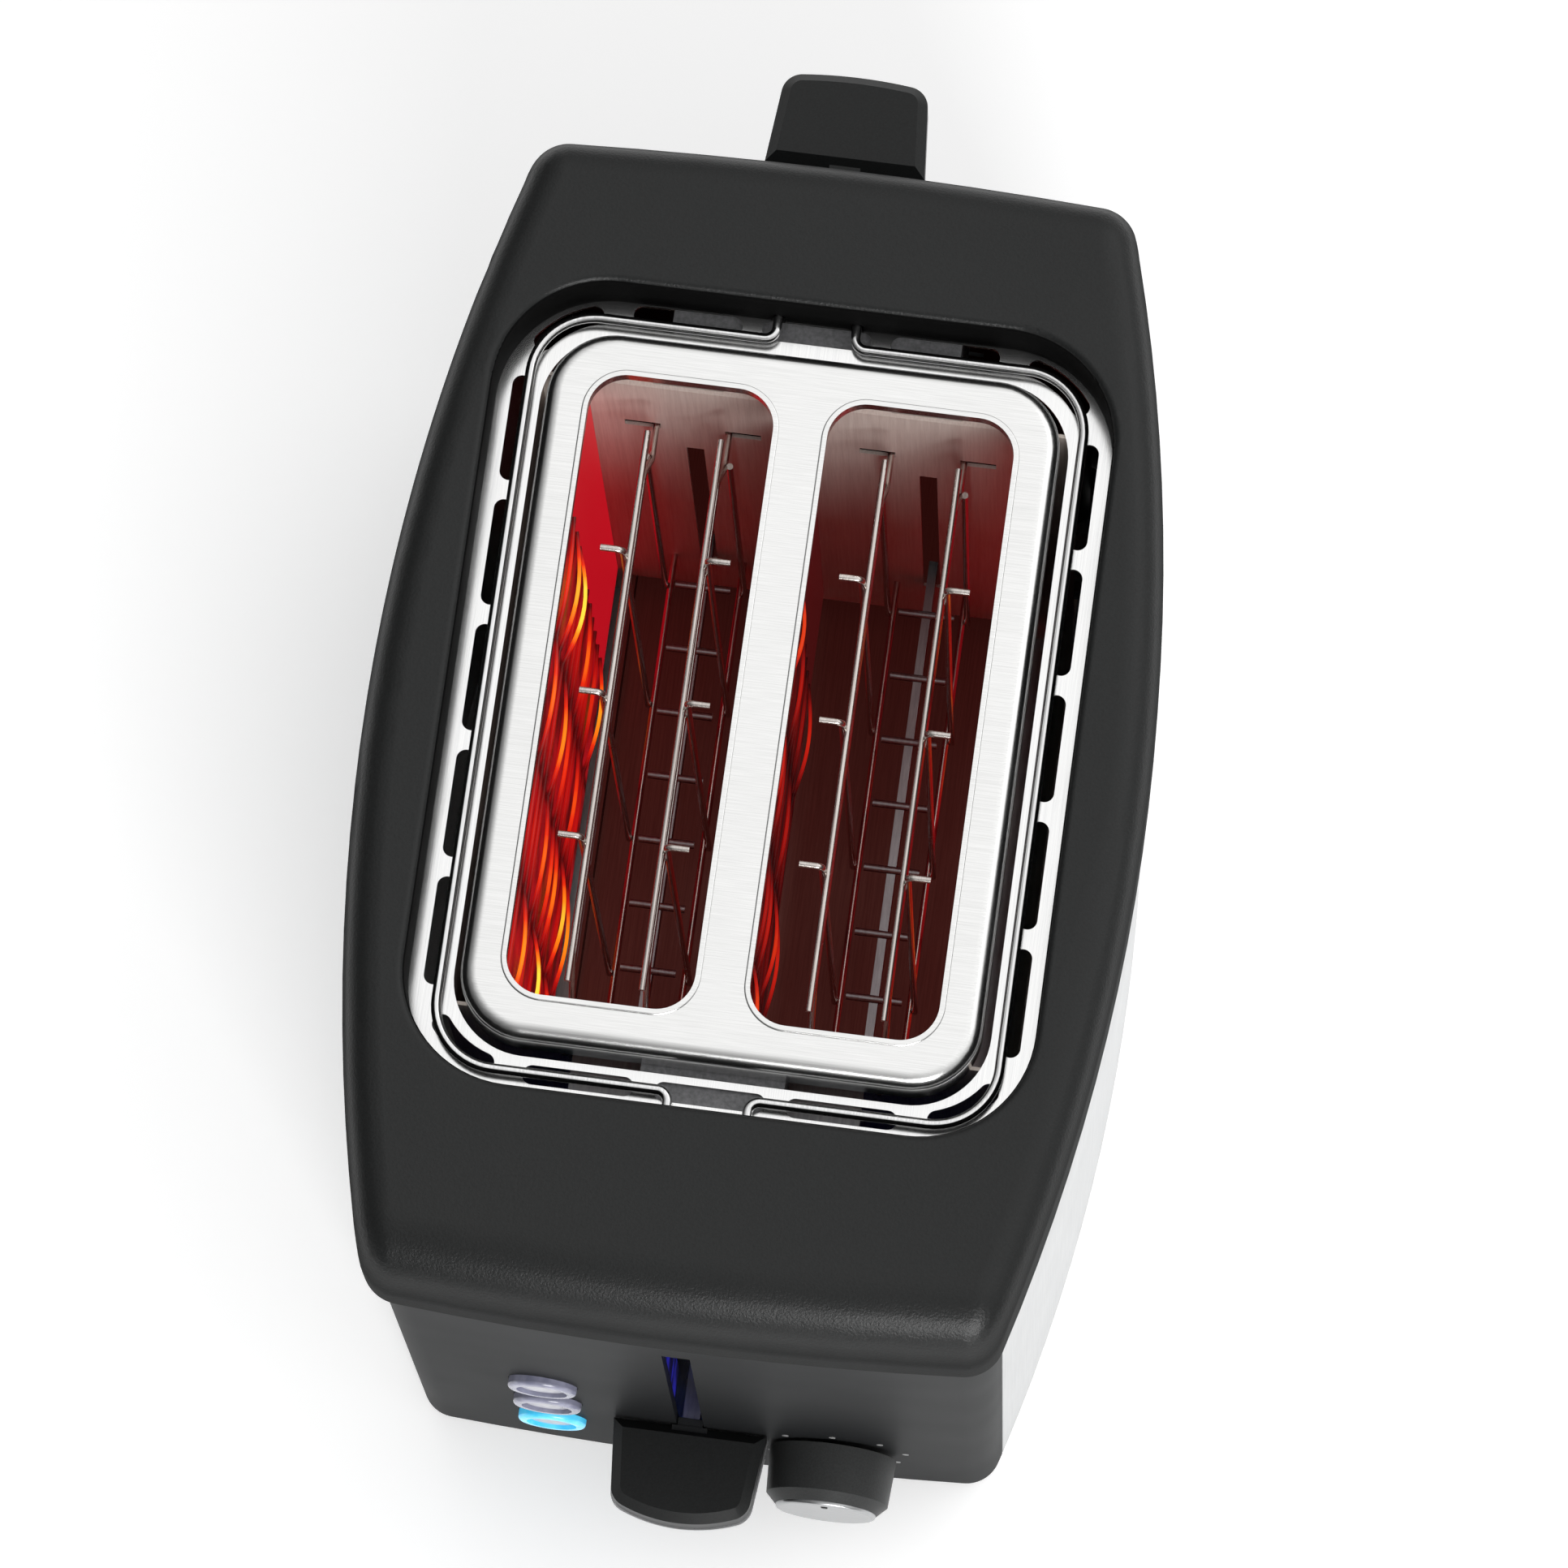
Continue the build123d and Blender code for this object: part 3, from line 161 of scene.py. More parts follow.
plasticUsual = {"ior": 1.5, "specular": 0.5, "patchMm": 45.0, "patchDetail": 2.0}
plasticLooks = {
    # top cover: matt, with a grain coarse enough to sparkle on its round edges
    "coverPlastic": {"dark": "#191a1a", "light": "#1e1f1f", "roughness": (0.33, 0.38), "grainMm": 0.6,
                     "grainDepthMm": 0.09, "specular": 0.28, "wallRoughness": 1.0},
    # painted shade: the same plastic inside the opening, drawn nearly black, rough and dull, for the shade
    # on the trough walls
    "coverRough": {"dark": "#050505", "light": "#080808", "roughness": (0.7, 0.8), "grainMm": 0.6,
                   "grainDepthMm": 0.03, "specular": 0.08},
    # front and rear panels: smoother, so that the lever shows in them as a blur
    "panelPlastic": {"dark": "#1d1e1f", "light": "#222324", "roughness": (0.46, 0.52), "grainMm": 0.4,
                     "grainDepthMm": 0.012, "specular": 0.08, "ior": 1.35},
    # levers: polished by fingers, with a soft sheen along their round edges
    "leverPlastic": {"dark": "#1c1d1d", "light": "#232424", "roughness": (0.36, 0.42), "grainMm": 0.4,
                     "grainDepthMm": 0.014, "specular": 0.22},
    # knob: a little greyer than the panel behind it, so that its rim stands out
    "knobPlastic": {"dark": "#2e2f2f", "light": "#363737", "roughness": (0.42, 0.48), "grainMm": 0.45,
                    "grainDepthMm": 0.02, "specular": 0.22},
    # glass-filled nylon of the inner supports: fibres leave it cloudy and dull
    "nylonGrey": {"dark": "#6e6e70", "light": "#8c8c8e", "roughness": (0.5, 0.6), "grainMm": 0.9,
                  "grainDepthMm": 0.08},
    "nylonBlack": {"dark": "#161617", "light": "#1d1d1e", "roughness": (0.45, 0.55), "grainMm": 0.7,
                   "grainDepthMm": 0.03},
    # feet: moulded rubber, which gives back almost no light
    "softRubber": {"dark": "#121212", "light": "#1a1a1a", "roughness": (0.7, 0.8), "grainMm": 0.8,
                   "grainDepthMm": 0.04},
}
materials = {name: mouldedPlastic(name, {**plasticUsual, **look}) for name, look in plasticLooks.items()}


def brushedMetal(name, look):
    # Sheet or wire with long fine scratches along one axis, which stretch the highlight across them
    material, tree, shader, coords = newMaterial(name)
    shader.inputs["Metallic"].default_value = look["metallic"]
    scratchScale = [1 / (look["scratchMm"] * mm)] * 3
    scratchScale[look["along"]] = 1 / (look["scratchLengthMm"] * mm)
    stretched = addNode(tree, "ShaderNodeMapping", {"Scale": scratchScale}, {"Vector": coords})
    scratches = addNode(tree, "ShaderNodeTexNoise", {"Scale": 1.0, "Detail": 4.0, "Roughness": 0.65},
                        {"Vector": stretched.outputs["Vector"]})
    tree.links.new(wornRoughness(tree, coords, look), shader.inputs["Roughness"])
    tintAndRelief(tree, shader, scratches.outputs["Fac"], look, look["scratchDepthMm"])
    if "glow" in look:
        # painted light: the red light of the heaters, painted as a glow on the faces that look up
        lit = addNode(tree, "ShaderNodeMath", {"operation": "GREATER_THAN", 1: 0.5},
                      {0: facingPart(tree, "Z")})
        shader.inputs["Emission Color"].default_value = linear(look["glow"])
        tree.links.new(lit.outputs[0], shader.inputs["Emission Strength"])
    return material


metalUsual = {"metallic": 1.0, "patchMm": 30.0, "patchDetail": 3.0}
metalLooks = {
    # the slot plate: stainless, brushed across the slots, so it shines as a broad soft band
    "brushedStainless": {"dark": "#dcdcdb", "light": "#ececeb", "roughness": (0.2, 0.26), "scratchMm": 0.25,
                         "scratchLengthMm": 14.0, "along": 0, "scratchDepthMm": 0.004},
    # the plate below it: rolled bright, with sharper white edges
    "ventStainless": {"dark": "#e2e2e2", "light": "#f0f0ef", "roughness": (0.14, 0.2), "scratchMm": 0.25,
                      "scratchLengthMm": 20.0, "along": 1, "scratchDepthMm": 0.003},
    # side sheets: satin silver, brushed upright
    "satinSheet": {"dark": "#bcbdbe", "light": "#cbcccc", "roughness": (0.36, 0.42), "scratchMm": 0.3,
                   "scratchLengthMm": 40.0, "along": 2, "scratchDepthMm": 0.003},
    # the strip on the lever: anodised, a clear line of light
    "satinTrim": {"dark": "#cfd0d1", "light": "#e0e0e1", "roughness": (0.25, 0.3), "scratchMm": 0.25,
                  "scratchLengthMm": 8.0, "along": 0, "scratchDepthMm": 0.003},
    # the knob's end cap: the same finish, greyer
    "dullTrim": {"dark": "#acadae", "light": "#babbbc", "roughness": (0.3, 0.36), "scratchMm": 0.25,
                 "scratchLengthMm": 8.0, "along": 0, "scratchDepthMm": 0.003},
    # bun rack: wire drawn through a die and nickel plated, almost a mirror
    "drawnWire": {"dark": "#cfcfcf", "light": "#e9e9e9", "roughness": (0.12, 0.18), "scratchMm": 0.3,
                  "scratchLengthMm": 10.0, "along": 1, "scratchDepthMm": 0.003},
    # bread guards: drawn wire that the heat has turned a little brown
    "heatTintedWire": {"dark": "#b5ada8", "light": "#d6cfca", "roughness": (0.2, 0.28), "scratchMm": 0.3,
                       "scratchLengthMm": 10.0, "along": 1, "scratchDepthMm": 0.004},
    # reflectors: aluminised steel, warm and softly mirroring
    "aluminisedSheet": {"dark": "#a2948b", "light": "#bfb2a8", "roughness": (0.34, 0.44), "scratchMm": 0.5,
                        "scratchLengthMm": 20.0, "along": 1, "scratchDepthMm": 0.004},
    # end walls: the same sheet gone matt and brown, so that it spreads the light from above
    "mattSheet": {"dark": "#cabdb4", "light": "#ded4cb", "roughness": (0.5, 0.6), "scratchMm": 0.5,
                  "scratchLengthMm": 20.0, "along": 2, "scratchDepthMm": 0.004, "metallic": 0.35},
    # crumb tray: the same sheet, painted dark red-brown for the shade and the heaters' red light at the
    # bottom of the slots, with that red light also painted as a glow on its upward faces
    "trayShadeAndRedLight": {"dark": "#3a2522", "light": "#4e332e", "roughness": (0.3, 0.42), "scratchMm": 0.5,
                     "scratchLengthMm": 20.0, "along": 1, "scratchDepthMm": 0.004, "glow": "#280b09"},
    # base, carriage and brackets: zinc-plated steel, cool and mottled
    "zincSheet": {"dark": "#8c8d8f", "light": "#a4a5a7", "roughness": (0.34, 0.46), "scratchMm": 0.6,
                  "scratchLengthMm": 6.0, "along": 1, "scratchDepthMm": 0.005},
    # rods, screws and the spring: turned or drawn steel, left bare
    "springSteel": {"dark": "#8a8b8d", "light": "#b0b1b3", "roughness": (0.25, 0.32), "scratchMm": 0.3,
                    "scratchLengthMm": 3.0, "along": 2, "scratchDepthMm": 0.003},
}
for name, look in metalLooks.items():
    materials[name] = brushedMetal(name, {**metalUsual, **look})


mottleDepthMm = 0.01


def evenSurface(name, look):
    # A plain coat, print or winding, with a faint mottle so that it isn't one flat colour
    material, tree, shader, coords = newMaterial(name)
    shader.inputs["Metallic"].default_value = look.get("metallic", 0.0)
    shader.inputs["Roughness"].default_value = look["roughness"]
    mottle = addNode(tree, "ShaderNodeTexNoise", {"Scale": 1 / (look["mottleMm"] * mm), "Detail": 3.0},
                     {"Vector": coords})
    tintAndRelief(tree, shader, mottle.outputs["Fac"], look, mottleDepthMm)
    return material


evenLooks = {
    # armature and magnet core: stacked iron sheets, dark and half shiny
    "laminatedIron": {"dark": "#3a3a3c", "light": "#505052", "roughness": 0.5, "mottleMm": 0.8,
                      "metallic": 0.8},
    # the coil: enamelled copper wire, a deep orange gloss
    "enamelledCopper": {"dark": "#8a4520", "light": "#a8592c", "roughness": 0.3, "mottleMm": 0.6,
                        "metallic": 0.9},
    # boards: glass and epoxy under a green mask
    "circuitLaminate": {"dark": "#0f3a22", "light": "#17512f", "roughness": 0.4, "mottleMm": 2.0},
    # pad-printed ink, flat on whatever it lies on
    "printWhite": {"dark": "#8a8a8a", "light": "#9c9c9c", "roughness": 0.5, "mottleMm": 0.4},
    "printBlack": {"dark": "#141414", "light": "#1c1c1c", "roughness": 0.5, "mottleMm": 0.4},
}
for name, look in evenLooks.items():
    materials[name] = evenSurface(name, look)


cloudMm = 3.0


def milkyPlastic(name, look):
    # Moulded polycarbonate that spreads the light behind it: glossy, faintly cloudy
    material, tree, shader, coords = newMaterial(name)
    shader.inputs["Roughness"].default_value = 0.16
    shader.inputs["IOR"].default_value = 1.58
    shader.inputs["Coat Weight"].default_value = 0.3
    cloud = addNode(tree, "ShaderNodeTexNoise", {"Scale": 1 / (cloudMm * mm), "Detail": 2.0},
                    {"Vector": coords})
    tint = addNode(tree, "ShaderNodeValToRGB",
                   {"stops": [(noiseLow, linear(look["dark"])), (noiseHigh, linear(look["light"]))]},
                   {"Fac": cloud.outputs["Fac"]})
    tree.links.new(tint.outputs["Color"], shader.inputs["Base Color"])
    if "glow" in look:
        shader.inputs["Emission Color"].default_value = linear(look["glow"])
        shader.inputs["Emission Strength"].default_value = look["strength"]
    return material


milkyLooks = {
    "ringPlastic": {"dark": "#85869c", "light": "#a3a4ba"},
    "ringLit": {"dark": "#3fb4dc", "light": "#74d6f2", "glow": "#36b6e6", "strength": 0.6},
    "buttonPlastic": {"dark": "#b9b9c2", "light": "#d0d0d6"},
    "lampDome": {"dark": "#3c62d8", "light": "#5f84e8", "glow": "#3f62ff", "strength": 4.0},
}
for name, look in milkyLooks.items():
    materials[name] = milkyPlastic(name, look)


def litAcrylic(name, look):
    # Tinted acrylic with a blue lamp behind it, in patches where the light leaves it
    material, tree, shader, coords = newMaterial(name)
    shader.inputs["Roughness"].default_value = look["roughness"]
    shader.inputs["Base Color"].default_value = linear(look["body"])
    cloud = addNode(tree, "ShaderNodeTexNoise", {"Scale": 1 / (look["patchMm"] * mm), "Detail": 1.0},
                    {"Vector": coords})
    dimPlace, litPlace = look["patchStops"]
    tint = addNode(tree, "ShaderNodeValToRGB",
                   {"stops": [(dimPlace, linear(look["dim"])), (litPlace, linear(look["lit"]))]},
                   {"Fac": cloud.outputs["Fac"]})
    tree.links.new(tint.outputs["Color"], shader.inputs["Emission Color"])
    shader.inputs["Emission Strength"].default_value = look["strength"]
    return material


guideLook = {"body": "#0b0a20", "dim": "#0d0b2e", "lit": "#24229a", "patchMm": 9.0,
             "patchStops": (0.42, 0.58), "roughness": 0.3, "strength": 0.7}
materials["lightGuide"] = litAcrylic("lightGuide", guideLook)


# Heaters: mica boards with ribbons laid along them, which bow off the board between its ribs
heaterLook = {"spans": 4, "pointsPerSpan": 12, "rows": 11, "widthMm": 1.2, "thickMm": 0.75,
              "maxBowMm": 3.2, "tautShare": 0.35, "archWarmth": 0.3, "bowWarmth": 0.8, "seed": 7}
ribbonLow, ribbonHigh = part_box("heating_wire_left")


def ribbonLitMica(name, look):
    # Painted light: the mica sheet drawn as glowing red for the light of the ribbons on it, with painted
    # shade behind each upright rib and an even painted glow past the last ribbon
    material, tree, shader, coords = newMaterial(name)
    shader.inputs["Roughness"].default_value = look["roughness"]
    shader.inputs["Base Color"].default_value = linear(look["body"])
    # patches of dimmer and brighter painted glow
    cloud = addNode(tree, "ShaderNodeTexNoise", {"Scale": 1 / (look["patchMm"] * mm), "Detail": 2.0},
                    {"Vector": coords})
    dimPlace, litPlace = look["patchStops"]
    patches = addNode(tree, "ShaderNodeValToRGB",
                      {"stops": [(dimPlace, linear(look["dim"])), (litPlace, linear(look["lit"]))]},
                      {"Fac": cloud.outputs["Fac"]})
    # the place along the board, counted in spans between ribs
    along = addNode(tree, "ShaderNodeSeparateXYZ", links={"Vector": coords}).outputs["Y"]
    spans = addNode(tree, "ShaderNodeMapRange",
                    {"From Min": ribbonLow[1], "From Max": ribbonHigh[1], "To Min": 0.0,
                     "To Max": float(heaterLook["spans"]), "clamp": False},
                    {"Value": along})
    fromRib = addNode(tree, "ShaderNodeMath", {"operation": "PINGPONG", 1: 0.5},
                      {0: spans.outputs["Result"]})
    ribEdge, ribEnd = look["ribStops"]
    ribShadow = addNode(tree, "ShaderNodeValToRGB",
                        {"stops": [(ribEdge, grey(look["ribShade"])), (ribEnd, grey(1.0))]},
                        {"Fac": fromRib.outputs["Value"]})
    pastLast = addNode(tree, "ShaderNodeMath", {"operation": "GREATER_THAN", 1: float(heaterLook["spans"])},
                       {0: spans.outputs["Result"]})
    ribbed = addNode(tree, "ShaderNodeMix", {"data_type": "RGBA", "blend_type": "MULTIPLY", 0: 1.0},
                     {6: patches.outputs["Color"], 7: ribShadow.outputs["Color"]})
    glow = addNode(tree, "ShaderNodeMix", {"data_type": "RGBA", 7: linear(look["plain"])},
                   {0: pastLast.outputs["Value"], 6: ribbed.outputs[2]})
    tree.links.new(glow.outputs[2], shader.inputs["Emission Color"])
    # the painted glow lies only on the faces towards the bread, or on both where the board stands between
    # the slots
    towards = addNode(tree, "ShaderNodeMath", {"operation": "MULTIPLY", 1: look["side"]},
                      {0: facingPart(tree, "X")})
    if look["side"] == 0.0:
        towards.operation = "ABSOLUTE"
    lit = addNode(tree, "ShaderNodeMath", {"operation": "GREATER_THAN", 1: 0.5}, {0: towards.outputs[0]})
    level = addNode(tree, "ShaderNodeMath", {"operation": "MULTIPLY", 1: look["strength"]},
                    {0: lit.outputs[0]})
    tree.links.new(level.outputs[0], shader.inputs["Emission Strength"])
    return material


micaUsual = {"body": "#3a1512", "roughness": 0.4, "patchMm": 14.0, "patchStops": (0.38, 0.62),
             "ribStops": (0.02, 0.07), "ribShade": 0.15}
# lit and dimmer copies of one painted glow: the left board, the centre board and the far right board
micaLooks = {
    "micaBrightGlow": {"dim": "#4e0609", "lit": "#9c0e16", "plain": "#b40d1c", "strength": 1.0, "side": 1.0},
    "micaDimGlow": {"dim": "#22090a", "lit": "#4a0d0e", "plain": "#3c0c0d", "strength": 1.0, "side": 0.0},
    "micaFarGlow": {"dim": "#5a080c", "lit": "#8c0e15", "plain": "#7a0c14", "strength": 1.4, "side": -1.0},
}
for name, look in micaLooks.items():
    materials[name] = ribbonLitMica(name, {**micaUsual, **look})


warmthPlaces = (0.05, 0.3, 0.5, 0.75, 0.95)  # how warm the ribbon is where each colour stands


def glowingRibbon(name, look):
    # Resistance ribbon: dull red where it touches the mica, orange to yellow where it bows off it
    material, tree, shader, coords = newMaterial(name)
    shader.inputs["Roughness"].default_value = 0.5
    shader.inputs["Base Color"].default_value = linear(look["body"])
    warmth = addNode(tree, "ShaderNodeAttribute", {"attribute_name": "warmth"}).outputs["Fac"]
    shades = [(place, linear(shade)) for place, shade in zip(warmthPlaces, look["colours"])]
    tint = addNode(tree, "ShaderNodeValToRGB", {"stops": shades}, {"Fac": warmth})
    tree.links.new(tint.outputs["Color"], shader.inputs["Emission Color"])
    shader.inputs["Emission Strength"].default_value = look["strength"]
    return material


ribbonLooks = {
    "ribbonHot": {"body": "#3a1008", "strength": 1.25,
                  "colours": ("#4c0406", "#a50c0a", "#d8280a", "#f98312", "#ffd23c")},
    "ribbonDull": {"body": "#3a1008", "strength": 1.0,
                   "colours": ("#1e0304", "#5c0808", "#96100c", "#c01c0e", "#e03a10")},
}
for name, look in ribbonLooks.items():
    materials[name] = glowingRibbon(name, look)
print("materials made:", len(materials))


# The solid pieces: round ones get a welded, smooth-shaded copy, and the rest keep their own mesh
materialOfNode = {
    "top_cover": "coverPlastic",
    "front_panel": "panelPlastic",
    "rear_panel": "panelPlastic",
    "crumb_tray_handle": "panelPlastic",
    "cord_gland": "nylonBlack",
    "front_lever": "leverPlastic",
    "rear_lever": "leverPlastic",
    "browning_knob": "knobPlastic",
    "rack_bearing_front": "nylonGrey",
    "rack_bearing_rear": "nylonGrey",
    "rack_slider": "nylonBlack",
    "rack_crank_left": "nylonGrey",
    "rack_crank_right": "nylonGrey",
    "terminal_block": "nylonGrey",
    "button_switches": "nylonBlack",
    "potentiometer": "nylonBlack",
    "rubber_feet": "softRubber",
    "slot_plate": "brushedStainless",
    "vent_plate": "ventStainless",
    "side_panel_left": "satinSheet",
    "side_panel_right": "satinSheet",
    "front_lever_trim": "satinTrim",
    "knob_end_cap": "dullTrim",
    "bun_rack_left": "drawnWire",
    "bun_rack_right": "drawnWire",
    "bread_guard_left_outer": "heatTintedWire",
    "bread_guard_left_inner": "heatTintedWire",
    "bread_guard_right_inner": "heatTintedWire",
    "bread_guard_right_outer": "heatTintedWire",
    "chassis_front_wall": "mattSheet",
    "chassis_rear_wall": "mattSheet",
    "reflector_left": "aluminisedSheet",
    "reflector_right": "aluminisedSheet",
    "base_plate": "zincSheet",
    "carriage_bracket": "zincSheet",
    "bread_rest_left": "zincSheet",
    "bread_rest_right": "zincSheet",
    "guide_bracket": "zincSheet",
    "guide_rod": "springSteel",
    "knob_shaft": "springSteel",
    "screws": "springSteel",
    "return_spring": "springSteel",
    # the tray takes painted shade and red light; the boards take the ribbons' painted glow
    "crumb_tray": "trayShadeAndRedLight",
    "heater_board_left": "micaBrightGlow",
    "heater_board_centre": "micaDimGlow",
    "heater_board_right": "micaFarGlow",
    "heating_wire_left": "ribbonHot",
    "heating_wire_centre": "ribbonDull",
    "heating_wire_right": "ribbonHot",
    "armature": "laminatedIron",
    "electromagnet_core": "laminatedIron",
    "electromagnet_coil": "enamelledCopper",
    "control_board": "circuitLaminate",
    "timer_board": "circuitLaminate",
    "indicator_lamps": "lampDome",
    "button_rings": "ringPlastic",
    "upper_button": "buttonPlastic",
    "middle_button": "buttonPlastic",
    "lower_button": "buttonPlastic",
    "slit_light_guides": "lightGuide",
}
smoothNodes = [
    "top_cover", "vent_plate", "slot_plate", "front_panel", "rear_panel", "side_panel_left",
    "side_panel_right", "front_lever", "front_lever_trim", "rear_lever", "browning_knob", "knob_end_cap",
    "button_rings", "upper_button", "middle_button", "lower_button", "bun_rack_left", "bun_rack_right",
    "bread_guard_left_outer", "bread_guard_left_inner", "bread_guard_right_inner",
    "bread_guard_right_outer", "rubber_feet", "cord_gland", "return_spring", "guide_rod", "rack_slider",
]
bevelOfNode = {"front_lever": 0.3, "rear_lever": 0.3, "browning_knob": 0.3}
shading = {"weldMm": 0.002, "creaseDegrees": 32, "bevelSegments": 3}


def dress(thing, material):
    thing.data.materials.clear()
    thing.data.materials.append(material)


def weldedCopy(nodeName, pieceName, bevelMm):
    # Doubles merged, so that the shading runs on over the round edges; bevelMm breaks the sharp ones
    mesh = nodes[nodeName].data.copy()
    mesh.name = pieceName
    piece = bpy.data.objects.new(pieceName, mesh)
    scene.collection.objects.link(piece)
    work = bmesh.new()
    work.from_mesh(mesh)
    bmesh.ops.remove_doubles(work, verts=work.verts, dist=shading["weldMm"] * mm)
    crease = math.radians(shading["creaseDegrees"])
    for face in work.faces:
        face.smooth = True
    for edge in work.edges:
        edge.smooth = len(edge.link_faces) == 2 and edge.calc_face_angle(0.0) < crease
    work.to_mesh(mesh)
    work.free()
    dress(piece, materials[materialOfNode[nodeName]])
    if bevelMm:
        bevel = piece.modifiers.new("brokenEdges", "BEVEL")
        bevel.width = bevelMm * mm
        bevel.segments = shading["bevelSegments"]
        bevel.angle_limit = crease
    weighted = piece.modifiers.new("evenNormals", "WEIGHTED_NORMAL")
    weighted.keep_sharp = True
    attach(piece, bodyOfNode[nodeName])
    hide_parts(nodeName)
    return piece


smooth = {}
for nodeName, materialName in materialOfNode.items():
    if nodeName in smoothNodes:
        words = nodeName.split("_")
        pieceName = words[0] + "".join(word.title() for word in words[1:])
        smooth[nodeName] = weldedCopy(nodeName, pieceName, bevelOfNode.get(nodeName, 0.0))
    else:
        dress(nodes[nodeName], materials[materialName])
print("pieces dressed:", len(materialOfNode), "of them welded:", len(smooth))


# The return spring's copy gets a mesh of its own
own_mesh(smooth["return_spring"])


def secondMaterial(piece, material, chosen):
    # The faces for which chosen(face) holds take the second material
    piece.data.materials.append(material)
    for face in piece.data.polygons:
        if chosen(face):
            face.material_index = 1


ventLow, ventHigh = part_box("vent_plate")
troughInset = 1.0 * mm
ringMargin = 3.0 * mm  # a ring reaches less than this above its button, and the next ring starts higher
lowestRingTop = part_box("lower_button")[1][2] + ringMargin


def inShadedTrough(face):
    # the cover's standing walls round the opening, over the vent plate, which take the painted shade
    acrossIt = ventLow[0] + troughInset < face.center.x < ventHigh[0] - troughInset
    alongIt = ventLow[1] + troughInset < face.center.y < ventHigh[1] - troughInset
    return abs(face.normal.z) < 0.5 and acrossIt and alongIt


def onLowestRing(face):
    return face.center.z < lowestRingTop


# the cover's trough walls take the painted shade
secondMaterial(smooth["top_cover"], materials["coverRough"], inShadedTrough)
secondMaterial(smooth["button_rings"], materials["ringLit"], onLowestRing)


def newTree(name, sockets):
    # A node group with the named inputs and a geometry output, and the ends to link to
    tree = bpy.data.node_groups.new(name, "GeometryNodeTree")
    tree.interface.new_socket("Geometry", in_out="OUTPUT", socket_type="NodeSocketGeometry")
    for socketName, kind in sockets:
        tree.interface.new_socket(socketName, in_out="INPUT", socket_type="NodeSocket" + kind)
    return tree, tree.nodes.new("NodeGroupInput").outputs, tree.nodes.new("NodeGroupOutput").inputs


def grownPiece(name, tree, values, node, points=()):
    # The tree's result as a plain mesh, riding with the node it stands for or sits on
    seedMesh = bpy.data.meshes.new(name + "Seed")
    seedMesh.from_pydata(list(points), [], [])
    seed = bpy.data.objects.new(name + "Seed", seedMesh)
    scene.collection.objects.link(seed)
    modifier = seed.modifiers.new("grow", "NODES")
    modifier.node_group = tree
    for item in tree.interface.items_tree:
        if item.in_out == "INPUT" and item.name in values:
            modifier[item.identifier] = values[item.name]
    graph = bpy.context.evaluated_depsgraph_get()
    mesh = bpy.data.meshes.new_from_object(seed.evaluated_get(graph))
    mesh.name = name
    piece = bpy.data.objects.new(name, mesh)
    scene.collection.objects.link(piece)
    bpy.data.objects.remove(seed)
    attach(piece, bodyOfNode[node])
    return piece


rowStride = 41.0  # more than the spans in a row, so that no two spans share a draw


